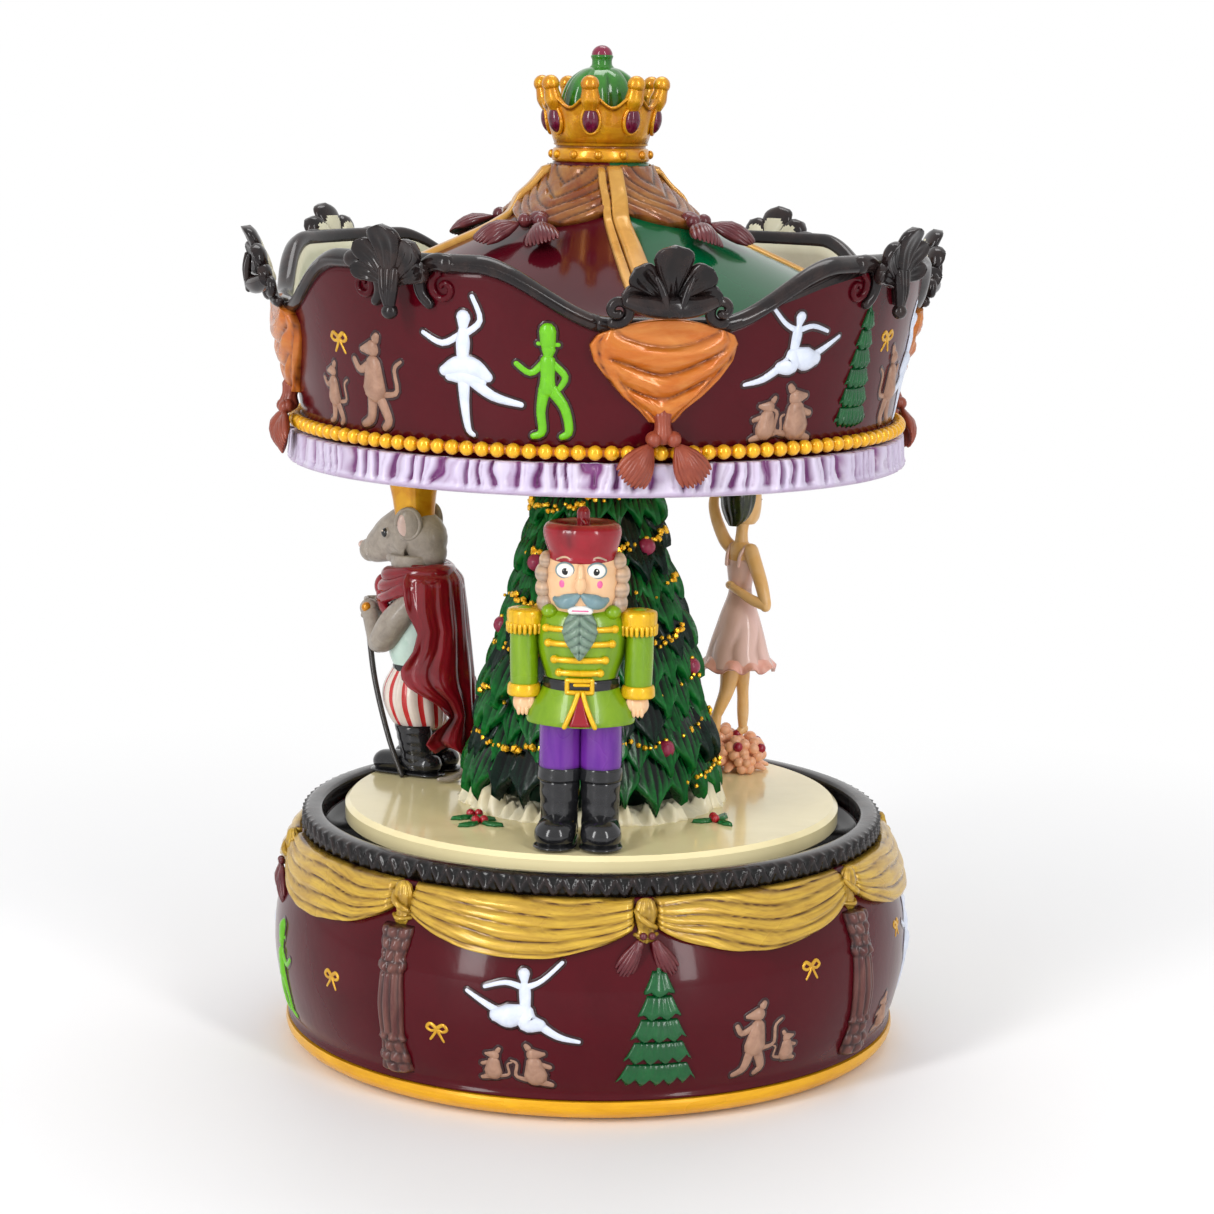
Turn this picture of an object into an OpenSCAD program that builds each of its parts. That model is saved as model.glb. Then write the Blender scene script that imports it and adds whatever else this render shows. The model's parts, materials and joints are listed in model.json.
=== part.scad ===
// Carousel music box: a winding music movement in a round base turns a platform
// that carries a fir tree, three figures and a tented roof with a crown.
// Millimetres, +Z up, origin at the middle of the underside, front towards -Y.

/* [Base] */
// Widest radius of the bulged drum
base_r = 69.8; // [64:0.1:76]
// How far the drum draws in from its widest radius to the dark rim ring
shoulder_in = 6; // [3:0.1:7]
// Height of the drum up to the rim ring
drum_h = 46.6; // [44:0.1:52]
// Thickness of the drum's wall where it is widest
drum_wall = 10.8; // [9:0.1:12]
// Width of the rim ring, from the outside to the well under the platform
rim_w = 4.6; // [4:0.1:6.5]
// Height of the rim ring
rim_h = 4.4; // [3:0.1:7]
// Thickness of the well's floor
well_floor_t = 3; // [2:0.1:5]
// Depth of the well below the top of the drum
well_depth = 2.6; // [1:0.1:4]
// Height of the gilt band round the foot
foot_h = 5; // [3:0.1:7]
// Number of swags hung round the drum
swag_count = 8; // [6:2:12]
// Turn of the first knot from the front
base_phase = 10; // [0:1:45]
// Height of the recess under the closing plate
key_recess = 11; // [9:0.1:13]
// Thickness of the closing plate
plate_t = 2; // [1.5:0.1:3]

/* [Platform] */
// Gap between the well's wall and the edge of the turning platform
well_gap = 4.9; // [3:0.1:8]
// Thickness of the platform
platform_t = 5; // [4:0.1:7]
// Gap between the well's floor and the platform
platform_gap = 3.7; // [3.2:0.1:6]
// Distance from the platform's edge to the ring on which the three figures stand
figure_inset = 10.4; // [9:0.1:13]
// Turn of the soldier, the mouse and the dancer from the front
figure_turns = [-3, -119, 131];

/* [Tree] */
// Distance from the ring of figures to the tree's lowest tier
tree_gap = 17.5; // [13:0.1:20]
// Radius of the tree at the roof's ceiling
tree_top_r = 11; // [9:0.1:16]
// Number of tiers of branches
tree_tiers = 8; // [5:1:10]
// Number of branch lobes round each tier
tree_lobes = 14; // [8:1:20]

/* [Roof] */
// Height of the roof's lower edge above the platform
roof_clear = 75.3; // [72:0.1:82]
// Outer radius of the pleated frill
frill_r = 67; // [62:0.1:70]
// Height of the pleated frill
frill_h = 6.6; // [4:0.1:9]
// Number of pleats in the frill
pleat_count = 60; // [40:2:90]
// Outward lean of the valance from its foot to its highest edge
valance_lean = 7; // [3:0.1:10]
// Height of the valance at the middle of a hump
valance_h = 37; // [32:0.1:42]
// Drop of the valance's edge from a hump to a valley
valance_dip = 11; // [6:0.1:16]
// Turn from the middle of a valley at which its edge starts to rise
valley_half = 9; // [2:0.5:14]
// Turn from the middle of a valley at which a hump starts
hump_from = 31; // [24:0.5:43]
// Thickness of the valance
valance_t = 2.6; // [2:0.1:4]
// Turn of the first valley from the front
roof_phase = 11.4; // [0:0.1:45]
// Number of beads in the gilt bead row
bead_count = 126; // [90:1:130]
// Height of the tent's neck above the roof's lower edge
neck_z = 63.5; // [58:0.1:70]
// Radius of the tent's neck
neck_r = 10.2; // [9:0.1:13]

/* [Crown] */
// Radius of the crown at the middle of its points
crown_r = 13.2; // [12:0.1:17]
// Height of the crown from its band to its points
crown_h = 18.1; // [14:0.1:20]
// Number of points
crown_points = 8; // [6:1:12]
// Radius of the ribbed cap inside the crown
cap_r = 8.6; // [7:0.1:10]
// Height of the knob above the cap
knob_h = 4.8; // [3:0.1:8]

/* [Movement] */
// Radius of the long spindle
spindle_r = 2; // [1.5:0.1:2.5]
// Running clearance round a shaft, on the radius
run_gap = 0.05; // [0.02:0.01:0.1]
// Gear module of the great wheel and its pinions
wheel_mod = 0.5; // [0.45:0.05:0.55]
// Gear module of the governor's wheels
governor_mod = 0.4; // [0.35:0.05:0.45]
// Thickness of the movement's bedplate
bedplate_t = 2; // [1.5:0.1:3]
// Radius of the pinned cylinder
cylinder_r = 6; // [5:0.1:6.2]
// Height of the cylinder's pins
pin_h = 0.7; // [0.4:0.1:0.8]
// Number of comb teeth
comb_teeth = 18; // [12:1:20]
// Distance between comb teeth
comb_pitch = 0.88; // [0.8:0.01:0.9]
// Width of the winding key's wings
key_w = 22; // [16:0.5:26]

/* [Hidden] */
$fn = 64;

// Radii, from the widest one inwards
shoulder_r = base_r - shoulder_in;
rim_r = shoulder_r + 0.1;
well_r = rim_r - rim_w;
cavity_r = base_r - drum_wall;
platform_r = well_r - well_gap;
figure_ring_r = platform_r - figure_inset;
tree_foot_r = figure_ring_r - tree_gap;

// Heights, from the floor up
plate_z = key_recess;
bed_standoff = 2.2;
bed_z = plate_z + plate_t + bed_standoff;
bed_top = bed_z + bedplate_t;
well_z = drum_h - well_depth;
well_under = well_z - well_floor_t;
rim_top = drum_h + rim_h;
bush_flange = 1;
washer_t = 0.5;
hub_z = well_z + bush_flange + washer_t + run_gap;
platform_z = well_z + platform_gap;
stage_z = platform_z + platform_t;
roof_z = stage_z + roof_clear;
ceiling_t = 2.4;
ceiling_z = roof_z + 1;
frill_top = roof_z + frill_h;
bead_r = 1.5;
bead_z = frill_top + 2.1;
valance_z = frill_top;
neck_top = roof_z + neck_z;
crown_z = neck_top;

// Colours
wine = "#5a1020";
gilt = "#c98f1e";
bronze = "#b5702f";
iron = "#33302f";
fir = "#0f5a2c";
cream = "#e9dcae";
steel = "#b9bcc0";
brass = "#c9a548";

// ---------- shared shapes ----------

function polar(r, turn, z) = [r * sin(turn), -r * cos(turn), z];
function mix(a, b, t) = a + (b - a) * t;
function along(table, x) = lookup(x, table);
// Soft curve through a list of points, in three steps from each to the next
function softened(p) = [
  for (i = [0 : len(p) - 2], t = [0, 1 / 3, 2 / 3])
    let (a = p[max(0, i - 1)], b = p[i], c = p[i + 1], d = p[min(len(p) - 1, i + 2)])
    0.5 * (2 * b + (c - a) * t + (2 * a - 5 * b + 4 * c - d) * t * t + (3 * b - a - 3 * c + d) * t * t * t),
  p[len(p) - 1]
];

// A closed skin over loops of equal length; joined end to end when ring is true
module skin(loops, ring = false) {
  n = len(loops);
  m = len(loops[0]);
  sides = [
    for (i = [0 : n - (ring ? 1 : 2)], j = [0 : m - 1])
      let (k = (i + 1) % n, l = (j + 1) % m)
      each [[i * m + j, k * m + l, i * m + l], [i * m + j, k * m + j, k * m + l]]
  ];
  caps = ring ? [] : concat(cap_strip(0, m, 0), cap_strip((n - 1) * m, m, 1));
  polyhedron([for (l = loops) each l], concat(sides, caps), convexity = 10);
}
// Triangles that zigzag across a loop whose two halves lie side by side
function cap_strip(first, m, flip) = [
  for (j = [0 : ceil(m / 2) - 2])
    let (a = first + j, b = first + j + 1, c = first + m - 2 - j, d = first + m - 1 - j)
    each concat(
      c == b ? [] : [flip ? [c, b, a] : [a, b, c]],
      [flip ? [d, c, a] : [a, c, d]]
    )
];

// A ring whose section, a list of [radius, height], is a function of the turn
module turned(section, steps) {
  skin([
    for (i = [0 : steps - 1])
      let (turn = i * 360 / steps, line = section(turn))
      [for (j = [len(line) - 1 : -1 : 0]) polar(line[j][0], turn, line[j][1])]
  ], ring = true);
}

// A padded sheet between an outer and an inner surface over u and v from 0 to 1
module padded_sheet(outer, inner, nu, nv) {
  m = 2 * (nv + 1);
  skin([
    for (i = [0 : nu])
      let (u = i / nu)
      concat([for (j = [0 : nv]) outer(u, j / nv)], [for (j = [nv : -1 : 0]) inner(u, j / nv)])
  ]);
}

// Places children at equal turns round the axis
module around(count, first = 0) {
  for (i = [0 : count - 1])
    rotate(first + i * 360 / count)
      children();
}

module tube(r_out, r_in, h) {
  linear_extrude(h)
    difference() {
      circle(r_out);
      circle(r_in);
    }
}

// Straight rod between two points
module rod(a, b, r_a, r_b) {
  d = b - a;
  turn = atan2(d[1], d[0]);
  tilt = atan2(norm([d[0], d[1]]), d[2]);
  translate(a)
    rotate([0, tilt, turn])
      cylinder(r1 = r_a, r2 = r_b, h = norm(d));
}

module screw(head_r, shank_r, length, head_h) {
  difference() {
    union() {
      translate([0, 0, -head_h])
        cylinder(r = head_r, h = head_h);
      cylinder(r = shank_r, h = length);
    }
    translate([0, 0, -head_h])
      cube([2 * head_r * 0.8, head_r * 0.28, head_h], center = true);
  }
}

// Involute spur wheel outline
pressure = 20;
function involute(a) = tan(a) * 180 / PI - a;
function half_tooth(r, teeth, mod, slack) =
  let (base = mod * teeth / 2 * cos(pressure))
  (90 - slack * 180 / PI) / teeth + involute(pressure) - involute(r > base ? acos(base / r) : 0);
function wheel_outline(teeth, mod, addendum, dedendum, slack) =
  let (pitch = mod * teeth / 2, radii = [-dedendum, -dedendum / 2, 0, addendum / 2, addendum])
  [
    for (i = [0 : teeth - 1], s = [-1, 1], k = [0 : 4])
      let (
        r = pitch + mod * radii[s < 0 ? k : 4 - k],
        turn = i * 360 / teeth + s * half_tooth(r, teeth, mod, slack)
      )
      [r * cos(turn), r * sin(turn)]
  ];
module wheel(teeth, mod, h, bore, addendum = 0.85, dedendum = 1.2, slack = 0.14) {
  linear_extrude(h)
    difference() {
      polygon(wheel_outline(teeth, mod, addendum, dedendum, slack));
      circle(bore);
    }
}

// ---------- base ----------

// Outer radius of the drum at a height
drum_line = [
  [0, base_r - 8], [1.2, base_r - 4.4], [3, base_r - 2.5], [foot_h, base_r - 2.5],
  [foot_h + 1.5, base_r - 3.3], [10, base_r - 2], [16, base_r - 0.6], [22, base_r],
  [29, base_r - 0.4], [36, base_r - 2], [drum_h - 4.5, shoulder_r + 1.6], [drum_h, shoulder_r]
];
drum_curve = softened(drum_line);
function drum_r(z) = along(drum_curve, z);
boss_r = 4;
boss_ring_r = cavity_r - 7;
plate_screw_r = 1.4;
bush_r = 4;
bush_len = 9;
spindle_boss_r = 8;

module base_shell() {
  wall = [for (p = drum_curve) if (p[0] > foot_h) [p[1], p[0]]];
  color(wine)
    difference() {
      union() {
        rotate_extrude()
          polygon(concat(
            [[cavity_r, foot_h], [base_r - 3.6, foot_h]], wall,
            [[well_r, drum_h], [well_r, well_z], [0, well_z], [0, well_under], [cavity_r, well_under]]
          ));
        around(4)
          translate([boss_ring_r, 0, plate_z + plate_t])
            cylinder(r = boss_r, h = well_under - plate_z - plate_t + 0.5);
        translate([0, 0, well_z - bush_len])
          cylinder(r = spindle_boss_r, h = bush_len - 0.5);
      }
      translate([0, 0, well_z - bush_len - 1])
        cylinder(r = bush_r, h = bush_len + 2);
      around(4)
        translate([boss_ring_r, 0, plate_z + plate_t - 1])
          cylinder(r = plate_screw_r, h = 9);
    }
}

module foot_band() {
  band = [for (p = drum_curve) if (p[0] < foot_h) [p[1], p[0]]];
  color(gilt)
    rotate_extrude()
      polygon(concat(
        [[cavity_r, foot_h], [cavity_r, 0]], band, [[drum_r(foot_h), foot_h]]
      ));
}

module rim_ring() {
  edge = 0.7;
  color(iron)
    rotate_extrude()
      polygon([
        [well_r, drum_h], [rim_r - edge, drum_h], [rim_r, drum_h + edge],
        [rim_r, rim_top - edge], [rim_r - edge, rim_top], [well_r + edge, rim_top],
        [well_r, rim_top - edge]
      ]);
}

swag_step = 360 / swag_count;
swag_top = drum_h - 0.6;
swag_drop = [4.6, 12.6];
knot_half = 3;
knot_z = drum_h - 3.9;
swag_gap = 0.1;
// One swag: u runs from knot to knot, v from the top edge to the hem
function swag_point(first, u, v, stand) =
  let (
    sag = 4 * u * (1 - u),
    turn = first + knot_half + u * (swag_step - 2 * knot_half),
    z = swag_top - v * mix(swag_drop[0], swag_drop[1], sag),
    folds = 0.35 * sin(v * 360 * 3) * (0.3 + sag)
  )
  polar(drum_r(z) + swag_gap + stand * (0.7 + 1.3 * sin(v * 180) + folds), turn, z);
module base_swags() {
  color(gilt)
    for (i = [0 : swag_count - 1])
      let (first = base_phase + i * swag_step)
        padded_sheet(
          function(u, v) swag_point(first, u, v, 1),
          function(u, v) swag_point(first, u, v, 0),
          8, 6
        );
}

module base_knots() {
  color(gilt)
    around(swag_count, base_phase)
      translate([0, -drum_r(knot_z) - 1.73, knot_z])
        hull()
          for (z = [-1.9, 1.6], x = [-0.75, 0.75])
            translate([x, 0.38 * z, z])
              sphere(r = 1.5, $fn = 8);
}

column_gap = 0.1;
column_rows = [
  [7.4, 3.2], [9.4, 3.6], [12.4, 3.0], [13.6, 3.7], [14.6, 2.8],
  [18, 2.7], [22, 2.6], [25.4, 2.6], [28.6, 2.6], [29.6, 3.6], [31.4, 3.0], [33.8, 3.5], [36.4, 3.0]
];
// Fluted half column that follows the drum's bulge
module base_pilasters() {
  color("#4d2620")
    around(swag_count / 2, base_phase + swag_step)
      skin([
        for (row = column_rows)
          let (r = drum_r(row[0]) + column_gap, w = row[1])
          [for (a = [0 : 22.5 : 180]) [-w * cos(a), -r - 0.72 * w * sin(a), row[0]]]
      ]);
}

tassel_z = knot_z - 4.2;
module hanging_tassel(length, spread, lean) {
  skin([
    for (s = [[0, 0.8], [0.15, 1.2], [0.25, 0.9], [0.7, 1.5], [1, 1.9]])
      [
        for (a = [0 : 40 : 320])
          [lean * s[0] + spread * s[1] * cos(a), -0.8 * s[1] * sin(a), -length * s[0]]
      ]
  ]);
}
module base_tassels() {
  color("#6a2a26")
    around(swag_count / 2, base_phase)
      for (side = [-1, 1])
        translate([side * 1.3, -drum_r(tassel_z - 4) - 1.9, tassel_z])
          hanging_tassel(6, 1, side * 2.6);
}

plate_r = cavity_r - 0.4;
arbor_x = -wheel_mod * (48 + 16) / 2;
arbor_r = 1.5;
key_hole_r = 5;
bed_screw_at = [[8, -10], [8, 35.6], [-33, -8]];
bed_screw_r = 1.2;

module closing_plate() {
  color("#2b2f2c")
    difference() {
      union() {
        translate([0, 0, plate_z])
          cylinder(r = plate_r, h = plate_t);
        for (p = bed_screw_at)
          translate([p[0], p[1], plate_z + plate_t])
            cylinder(r = 3, h = bed_standoff);
      }
      translate([arbor_x, 0, plate_z - 1])
        cylinder(r = key_hole_r, h = plate_t + 2);
      around(4)
        translate([boss_ring_r, 0, plate_z - 1])
          cylinder(r = plate_screw_r + 0.1, h = plate_t + 2);
      for (p = bed_screw_at)
        translate([p[0], p[1], plate_z - 1])
          cylinder(r = bed_screw_r + 0.1, h = plate_t + bed_standoff + 2);
    }
}

module plate_screws() {
  color(steel)
    around(4)
      translate([boss_ring_r, 0, plate_z])
        screw(2.6, plate_screw_r, 8, 1.4);
}

felt_in_r = 45;
felt_t = 1;
module felt_ring() {
  color("#1f5a3a")
    translate([0, 0, plate_z - felt_t])
      difference() {
        cylinder(r = plate_r - 0.6, h = felt_t);
        translate([0, 0, -1])
          cylinder(r = felt_in_r, h = felt_t + 2);
        around(4)
          translate([boss_ring_r, 0, -1])
            cylinder(r = 3.4, h = felt_t + 2);
      }
}

// ---------- bearings and movement ----------

bush_bore = spindle_r + run_gap;
bush_flange_r = 6;
module spindle_bush() {
  color(brass) {
    translate([0, 0, well_z - bush_len])
      tube(bush_r, bush_bore, bush_len);
    translate([0, 0, well_z])
      tube(bush_flange_r, bush_bore, bush_flange);
  }
}

module thrust_washer() {
  color("white")
    translate([0, 0, well_z + bush_flange])
      tube(bush_flange_r - 0.5, bush_bore, washer_t);
}

pivot_r = 1.2;
bed_box = [[-36, -13], [13, 38.6]];
module bedplate() {
  color(steel)
    difference() {
      translate([bed_box[0][0], bed_box[0][1], bed_z])
        cube([bed_box[1][0] - bed_box[0][0], bed_box[1][1] - bed_box[0][1], bedplate_t]);
      translate([0, 0, bed_z - 1])
        cylinder(r = pivot_r + run_gap, h = bedplate_t + 2);
      translate([arbor_x, 0, bed_z - 1])
        cylinder(r = arbor_r + run_gap, h = bedplate_t + 2);
      translate([click_pivot[0], click_pivot[1], bed_z - 1])
        cylinder(r = click_pin_r + run_gap, h = bedplate_t + 2);
      for (p = bed_screw_at)
        translate([p[0], p[1], bed_z - 1])
          cylinder(r = bed_screw_r, h = bedplate_t + 2);
    }
}

module bedplate_screws() {
  color(steel)
    for (p = bed_screw_at)
      translate([p[0], p[1], plate_z])
        screw(2.3, bed_screw_r, bed_top - plate_z + 0.6, 1);
}

// Great wheel: outer teeth drive the spindle, face teeth drive the cylinder
great_teeth = 48;
spindle_teeth = 16;
face_teeth = 40;
face_pinion_teeth = 12;
barrel_z = bed_top + 0.3;
barrel_r = 10.8;
barrel_h = 7.6;
barrel_wall = 1;
great_z = barrel_z + barrel_h;
great_t = 2;
face_h = 1;
face_r = wheel_mod * face_teeth / 2;
face_w = 1;
cylinder_y0 = 14.6;
cylinder_len = 16.4;
axis_z = great_z + great_t + wheel_mod + wheel_mod * face_pinion_teeth / 2;
cylinder_gear_y = cylinder_y0 + cylinder_len;
cylinder_arbor_r = 1;
bracket_t = 1.4;
near_bracket_y = cylinder_y0 - 0.4 - bracket_t;
far_bracket_y = cylinder_gear_y + 2;
cylinder_teeth = 36;
governor_teeth = 10;
governor_x = arbor_x - governor_mod * (cylinder_teeth + governor_teeth) / 2;
governor_arbor_r = 0.7;
worm_wheel_teeth = 24;
worm_wheel_y = far_bracket_y + bracket_t + 0.4;
worm_offset = governor_mod * worm_wheel_teeth / 2 + 1.3;
worm_x = governor_x - worm_offset;
worm_y = worm_wheel_y + 0.4;
worm_pitch = PI * governor_mod;
worm_r = 1.25;
worm_lead = 0.35;
worm_turns = 5;
fly_z = axis_z + 5;
fly_h = 3.4;
fly_r = 4.4;

module comb_block() {
  color(steel)
    difference() {
      translate([-0.5, cylinder_y0 - 0.6, bed_top])
        cube([8.5, cylinder_len + 1.2, axis_z - 0.5 - bed_top]);
      for (y = comb_screw_at)
        translate([5, y, bed_top + 3])
          cylinder(r = 0.9, h = axis_z);
    }
}

comb_screw_at = [cylinder_y0 + 3, cylinder_y0 + cylinder_len / 2, cylinder_y0 + cylinder_len - 3];
comb_tip_gap = 0.15;
comb_first = cylinder_y0 + cylinder_len / 2 - comb_pitch * (comb_teeth - 1) / 2;
module comb() {
  tip_x = arbor_x + cylinder_r + pin_h + comb_tip_gap;
  color("#d7dade")
    difference() {
      translate([0, 0, axis_z - 0.5])
        union() {
          translate([-1, cylinder_y0 - 0.6, 0])
            cube([9, cylinder_len + 1.2, 1]);
          for (i = [0 : comb_teeth - 1])
            translate([tip_x, comb_first + i * comb_pitch - 0.3, 0])
              cube([-0.5 - tip_x, 0.6, 1]);
        }
      for (y = comb_screw_at)
        translate([5, y, axis_z - 1])
          cylinder(r = 1, h = 3);
    }
}

module comb_screws() {
  color(brass)
    for (y = comb_screw_at)
      translate([5, y, axis_z + 0.5])
        mirror([0, 0, 1])
          screw(1.8, 0.85, 6, 1);
}

module bearing_plate(x0, x1, y, holes) {
  difference() {
    translate([x0, y, bed_top])
      cube([x1 - x0, bracket_t, axis_z + 2.6 - bed_top]);
    for (h = holes)
      translate([h[0], y - 1, axis_z])
        rotate([-90, 0, 0])
          cylinder(r = h[1] + run_gap, h = bracket_t + 2);
  }
}
module cylinder_brackets() {
  color(steel) {
    bearing_plate(arbor_x - 3, arbor_x + 3, near_bracket_y, [[arbor_x, cylinder_arbor_r]]);
    bearing_plate(governor_x - 3, arbor_x + 3, far_bracket_y,
      [[arbor_x, cylinder_arbor_r], [governor_x, governor_arbor_r]]);
  }
}

frame_post_y = worm_y - fly_r - 2.6;
worm_pivot_r = 0.4;
module governor_frame() {
  color(brass)
    difference() {
      union() {
        translate([worm_x - 3, frame_post_y, bed_top])
          cube([6, worm_y + 2 - frame_post_y, 5]);
        translate([worm_x - 3, frame_post_y, bed_top])
          cube([3, 2, fly_z + fly_h + 1.6 - bed_top]);
        translate([worm_x - 3, frame_post_y, fly_z + fly_h + 0.6])
          cube([6, worm_y + 2 - frame_post_y, 1]);
        translate([governor_x - 1.6, worm_wheel_y + 1.4, bed_top])
          cube([3.2, 1.4, axis_z + 2 - bed_top]);
        translate([worm_x, worm_wheel_y + 1.4, bed_top])
          cube([governor_x - worm_x, 1.4, 4]);
      }
      translate([worm_x, worm_y, bed_top + 1])
        cylinder(r = worm_pivot_r + run_gap, h = fly_z + fly_h + 4);
      translate([governor_x, worm_wheel_y + 1, axis_z])
        rotate([-90, 0, 0])
          cylinder(r = governor_arbor_r + run_gap, h = 2.4);
    }
}

ratchet_z = plate_z + plate_t + 0.3;
ratchet_h = 1.4;
ratchet_r = 5;
ratchet_teeth = 24;
module ratchet_wheel() {
  color(steel)
    translate([arbor_x, 0, ratchet_z])
      linear_extrude(ratchet_h)
        difference() {
          polygon([
            for (i = [0 : ratchet_teeth - 1], s = [0, 1])
              let (r = ratchet_r - 0.8 * s, turn = (i + 0.94 * s) * 360 / ratchet_teeth)
              [r * cos(turn), r * sin(turn)]
          ]);
          circle(arbor_r);
        }
}

click_pivot = [arbor_x + 3, -8.6];
click_pin_r = 0.8;
module click() {
  color(brass)
    translate([0, 0, ratchet_z]) {
      linear_extrude(ratchet_h)
        polygon([
          [click_pivot[0] + 1.6, click_pivot[1] - 1.4], [click_pivot[0] + 1.6, click_pivot[1] + 1.4],
          [arbor_x + 1, -ratchet_r - 0.35], [arbor_x - 0.6, -ratchet_r - 0.25],
          [arbor_x - 0.2, -ratchet_r - 1.6], [click_pivot[0] - 2, click_pivot[1] - 1.4]
        ]);
      translate([click_pivot[0], click_pivot[1], 0])
        cylinder(r = click_pin_r, h = bed_top + 0.1 - ratchet_z);
    }
}

module winding_arbor() {
  color(steel)
    translate([arbor_x, 0, 4])
      cylinder(r = arbor_r, h = great_z + great_t + 0.8 - 4);
}

key_z = 1.6;
module winding_key() {
  color(steel)
    translate([arbor_x, 0, 0])
      difference() {
        union() {
          translate([0, 0, key_z + 1])
            cylinder(r = 3, h = plate_z - felt_t - key_z - 1.6);
          for (side = [-1, 1])
            translate([side * key_w / 4, -0.8, key_z + 3.6])
              rotate([-90, 0, 0])
                difference() {
                  cylinder(r = 3.6 , h = 1.6);
                  translate([side * 0.6, 0, -1])
                    cylinder(r = 1.6, h = 4);
                }
          translate([-key_w / 4, -0.8, key_z + 2])
            cube([key_w / 2, 1.6, 3.2]);
        }
        translate([0, 0, 4])
          cylinder(r = arbor_r, h = plate_z);
      }
}

module spring_barrel() {
  color(brass)
    translate([arbor_x, 0, barrel_z])
      difference() {
        cylinder(r = barrel_r, h = barrel_h);
        translate([0, 0, barrel_wall])
          cylinder(r = barrel_r - barrel_wall, h = barrel_h);
        translate([0, 0, -1])
          cylinder(r = arbor_r + run_gap, h = barrel_h);
      }
}

// Flat spiral strip inside the barrel
spring_turns = 5;
module mainspring() {
  inner = arbor_r + 0.5;
  step = (barrel_r - barrel_wall - 0.8 - inner) / spring_turns;
  strip = 0.5;
  steps = 24 * spring_turns;
  line = [for (i = [0 : steps]) [inner + step * i / 24, i * 15]];
  color("#6f7378")
    translate([arbor_x, 0, barrel_z + barrel_wall + 0.3])
      linear_extrude(barrel_h - barrel_wall - 0.6)
        polygon(concat(
          [for (p = line) [p[0] * cos(p[1]), p[0] * sin(p[1])]],
          [for (i = [steps : -1 : 0]) let (p = line[i]) (p[0] + strip) * [cos(p[1]), sin(p[1])]]
        ));
}

module great_wheel() {
  tooth_half = PI * wheel_mod / 4 - 0.07;
  slope = wheel_mod * tan(pressure);
  color(brass)
    translate([arbor_x, 0, great_z]) {
      wheel(great_teeth, wheel_mod, great_t, arbor_r + run_gap);
      around(face_teeth, 90)
        translate([face_r - face_w / 2, 0, great_t])
          rotate([90, 0, 90])
            linear_extrude(face_w)
              polygon([
                [-tooth_half - slope, -0.1], [tooth_half + slope, -0.1],
                [tooth_half - slope, face_h], [-tooth_half + slope, face_h]
              ]);
    }
}

// The cylinder's pins, one row for each comb tooth
pins_per_row = 5;
pin_r = 0.18;
module music_cylinder() {
  color(brass)
    translate([arbor_x, cylinder_y0, axis_z])
      rotate([-90, 0, 0])
        difference() {
          union() {
            cylinder(r = cylinder_r, h = cylinder_len);
            for (row = [0 : comb_teeth - 1], i = [0 : pins_per_row - 1])
              rotate(9 + i * 72 + (row * 43) % 54)
                translate([cylinder_r - 0.3, 0, comb_first - cylinder_y0 + row * comb_pitch])
                  rotate([0, 90, 0])
                    cylinder(r = pin_r, h = pin_h + 0.3, $fn = 13);
          }
          translate([0, 0, -1])
            cylinder(r = cylinder_arbor_r, h = cylinder_len + 2);
        }
}

module cylinder_arbor() {
  pinion_y = face_r - 0.45;
  color(steel)
    translate([arbor_x, 0, axis_z])
      rotate([-90, 0, 0]) {
        translate([0, 0, pinion_y])
          cylinder(r = cylinder_arbor_r, h = far_bracket_y + bracket_t + 0.2 - pinion_y);
        translate([0, 0, pinion_y])
          rotate(90 + 180 / face_pinion_teeth)
            wheel(face_pinion_teeth, wheel_mod, 0.9, cylinder_arbor_r - 0.2);
        translate([0, 0, cylinder_gear_y])
          wheel(cylinder_teeth, governor_mod, 1.2, cylinder_arbor_r - 0.2);
      }
}

module governor_wheel() {
  color(brass)
    translate([governor_x, 0, axis_z])
      rotate([-90, 0, 0]) {
        translate([0, 0, cylinder_gear_y - 0.2])
          cylinder(r = governor_arbor_r, h = worm_wheel_y + 2.6 - cylinder_gear_y);
        translate([0, 0, cylinder_gear_y])
          rotate(180 / governor_teeth)
            wheel(governor_teeth, governor_mod, 1.2, governor_arbor_r - 0.2);
        translate([0, 0, worm_wheel_y])
          wheel(worm_wheel_teeth, governor_mod, 0.8, governor_arbor_r - 0.2,
            addendum = 0.5, dedendum = 1.25, slack = 0.3);
      }
}

module worm_and_fly() {
  worm_len = worm_turns * worm_pitch;
  color("#e8e4d8")
    translate([worm_x, worm_y, 0]) {
      translate([0, 0, bed_top + 1.4])
        cylinder(r = worm_pivot_r, h = fly_z + fly_h + 1.2 - bed_top - 1.4);
      translate([0, 0, axis_z - worm_len / 2])
        skin([
          for (i = [0 : worm_turns * 12])
            let (turn = i * 30, z = i / 12 * worm_pitch)
            [
              for (a = [0 : 30 : 330])
                [worm_r * cos(a) + worm_lead * cos(turn), worm_r * sin(a) + worm_lead * sin(turn), z]
            ]
        ]);
      translate([-fly_r, -0.2, fly_z])
        cube([2 * fly_r, 0.4, fly_h]);
      translate([0, 0, fly_z - 0.6])
        cylinder(r = 1, h = fly_h + 0.8);
    }
}

// ---------- platform and tree ----------

spindle_top = crown_z + 7;
module spindle() {
  color(steel) {
    translate([0, 0, bed_top + 0.6])
      cylinder(r = spindle_r, h = spindle_top - bed_top - 0.6);
    translate([0, 0, bed_z + 0.2])
      cylinder(r = pivot_r, h = bedplate_t + 0.6);
  }
}

module spindle_pinion() {
  color(brass)
    translate([0, 0, great_z - 0.4])
      rotate(180 + 180 / spindle_teeth)
        wheel(spindle_teeth, wheel_mod, great_t + 0.8, spindle_r);
}

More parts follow.
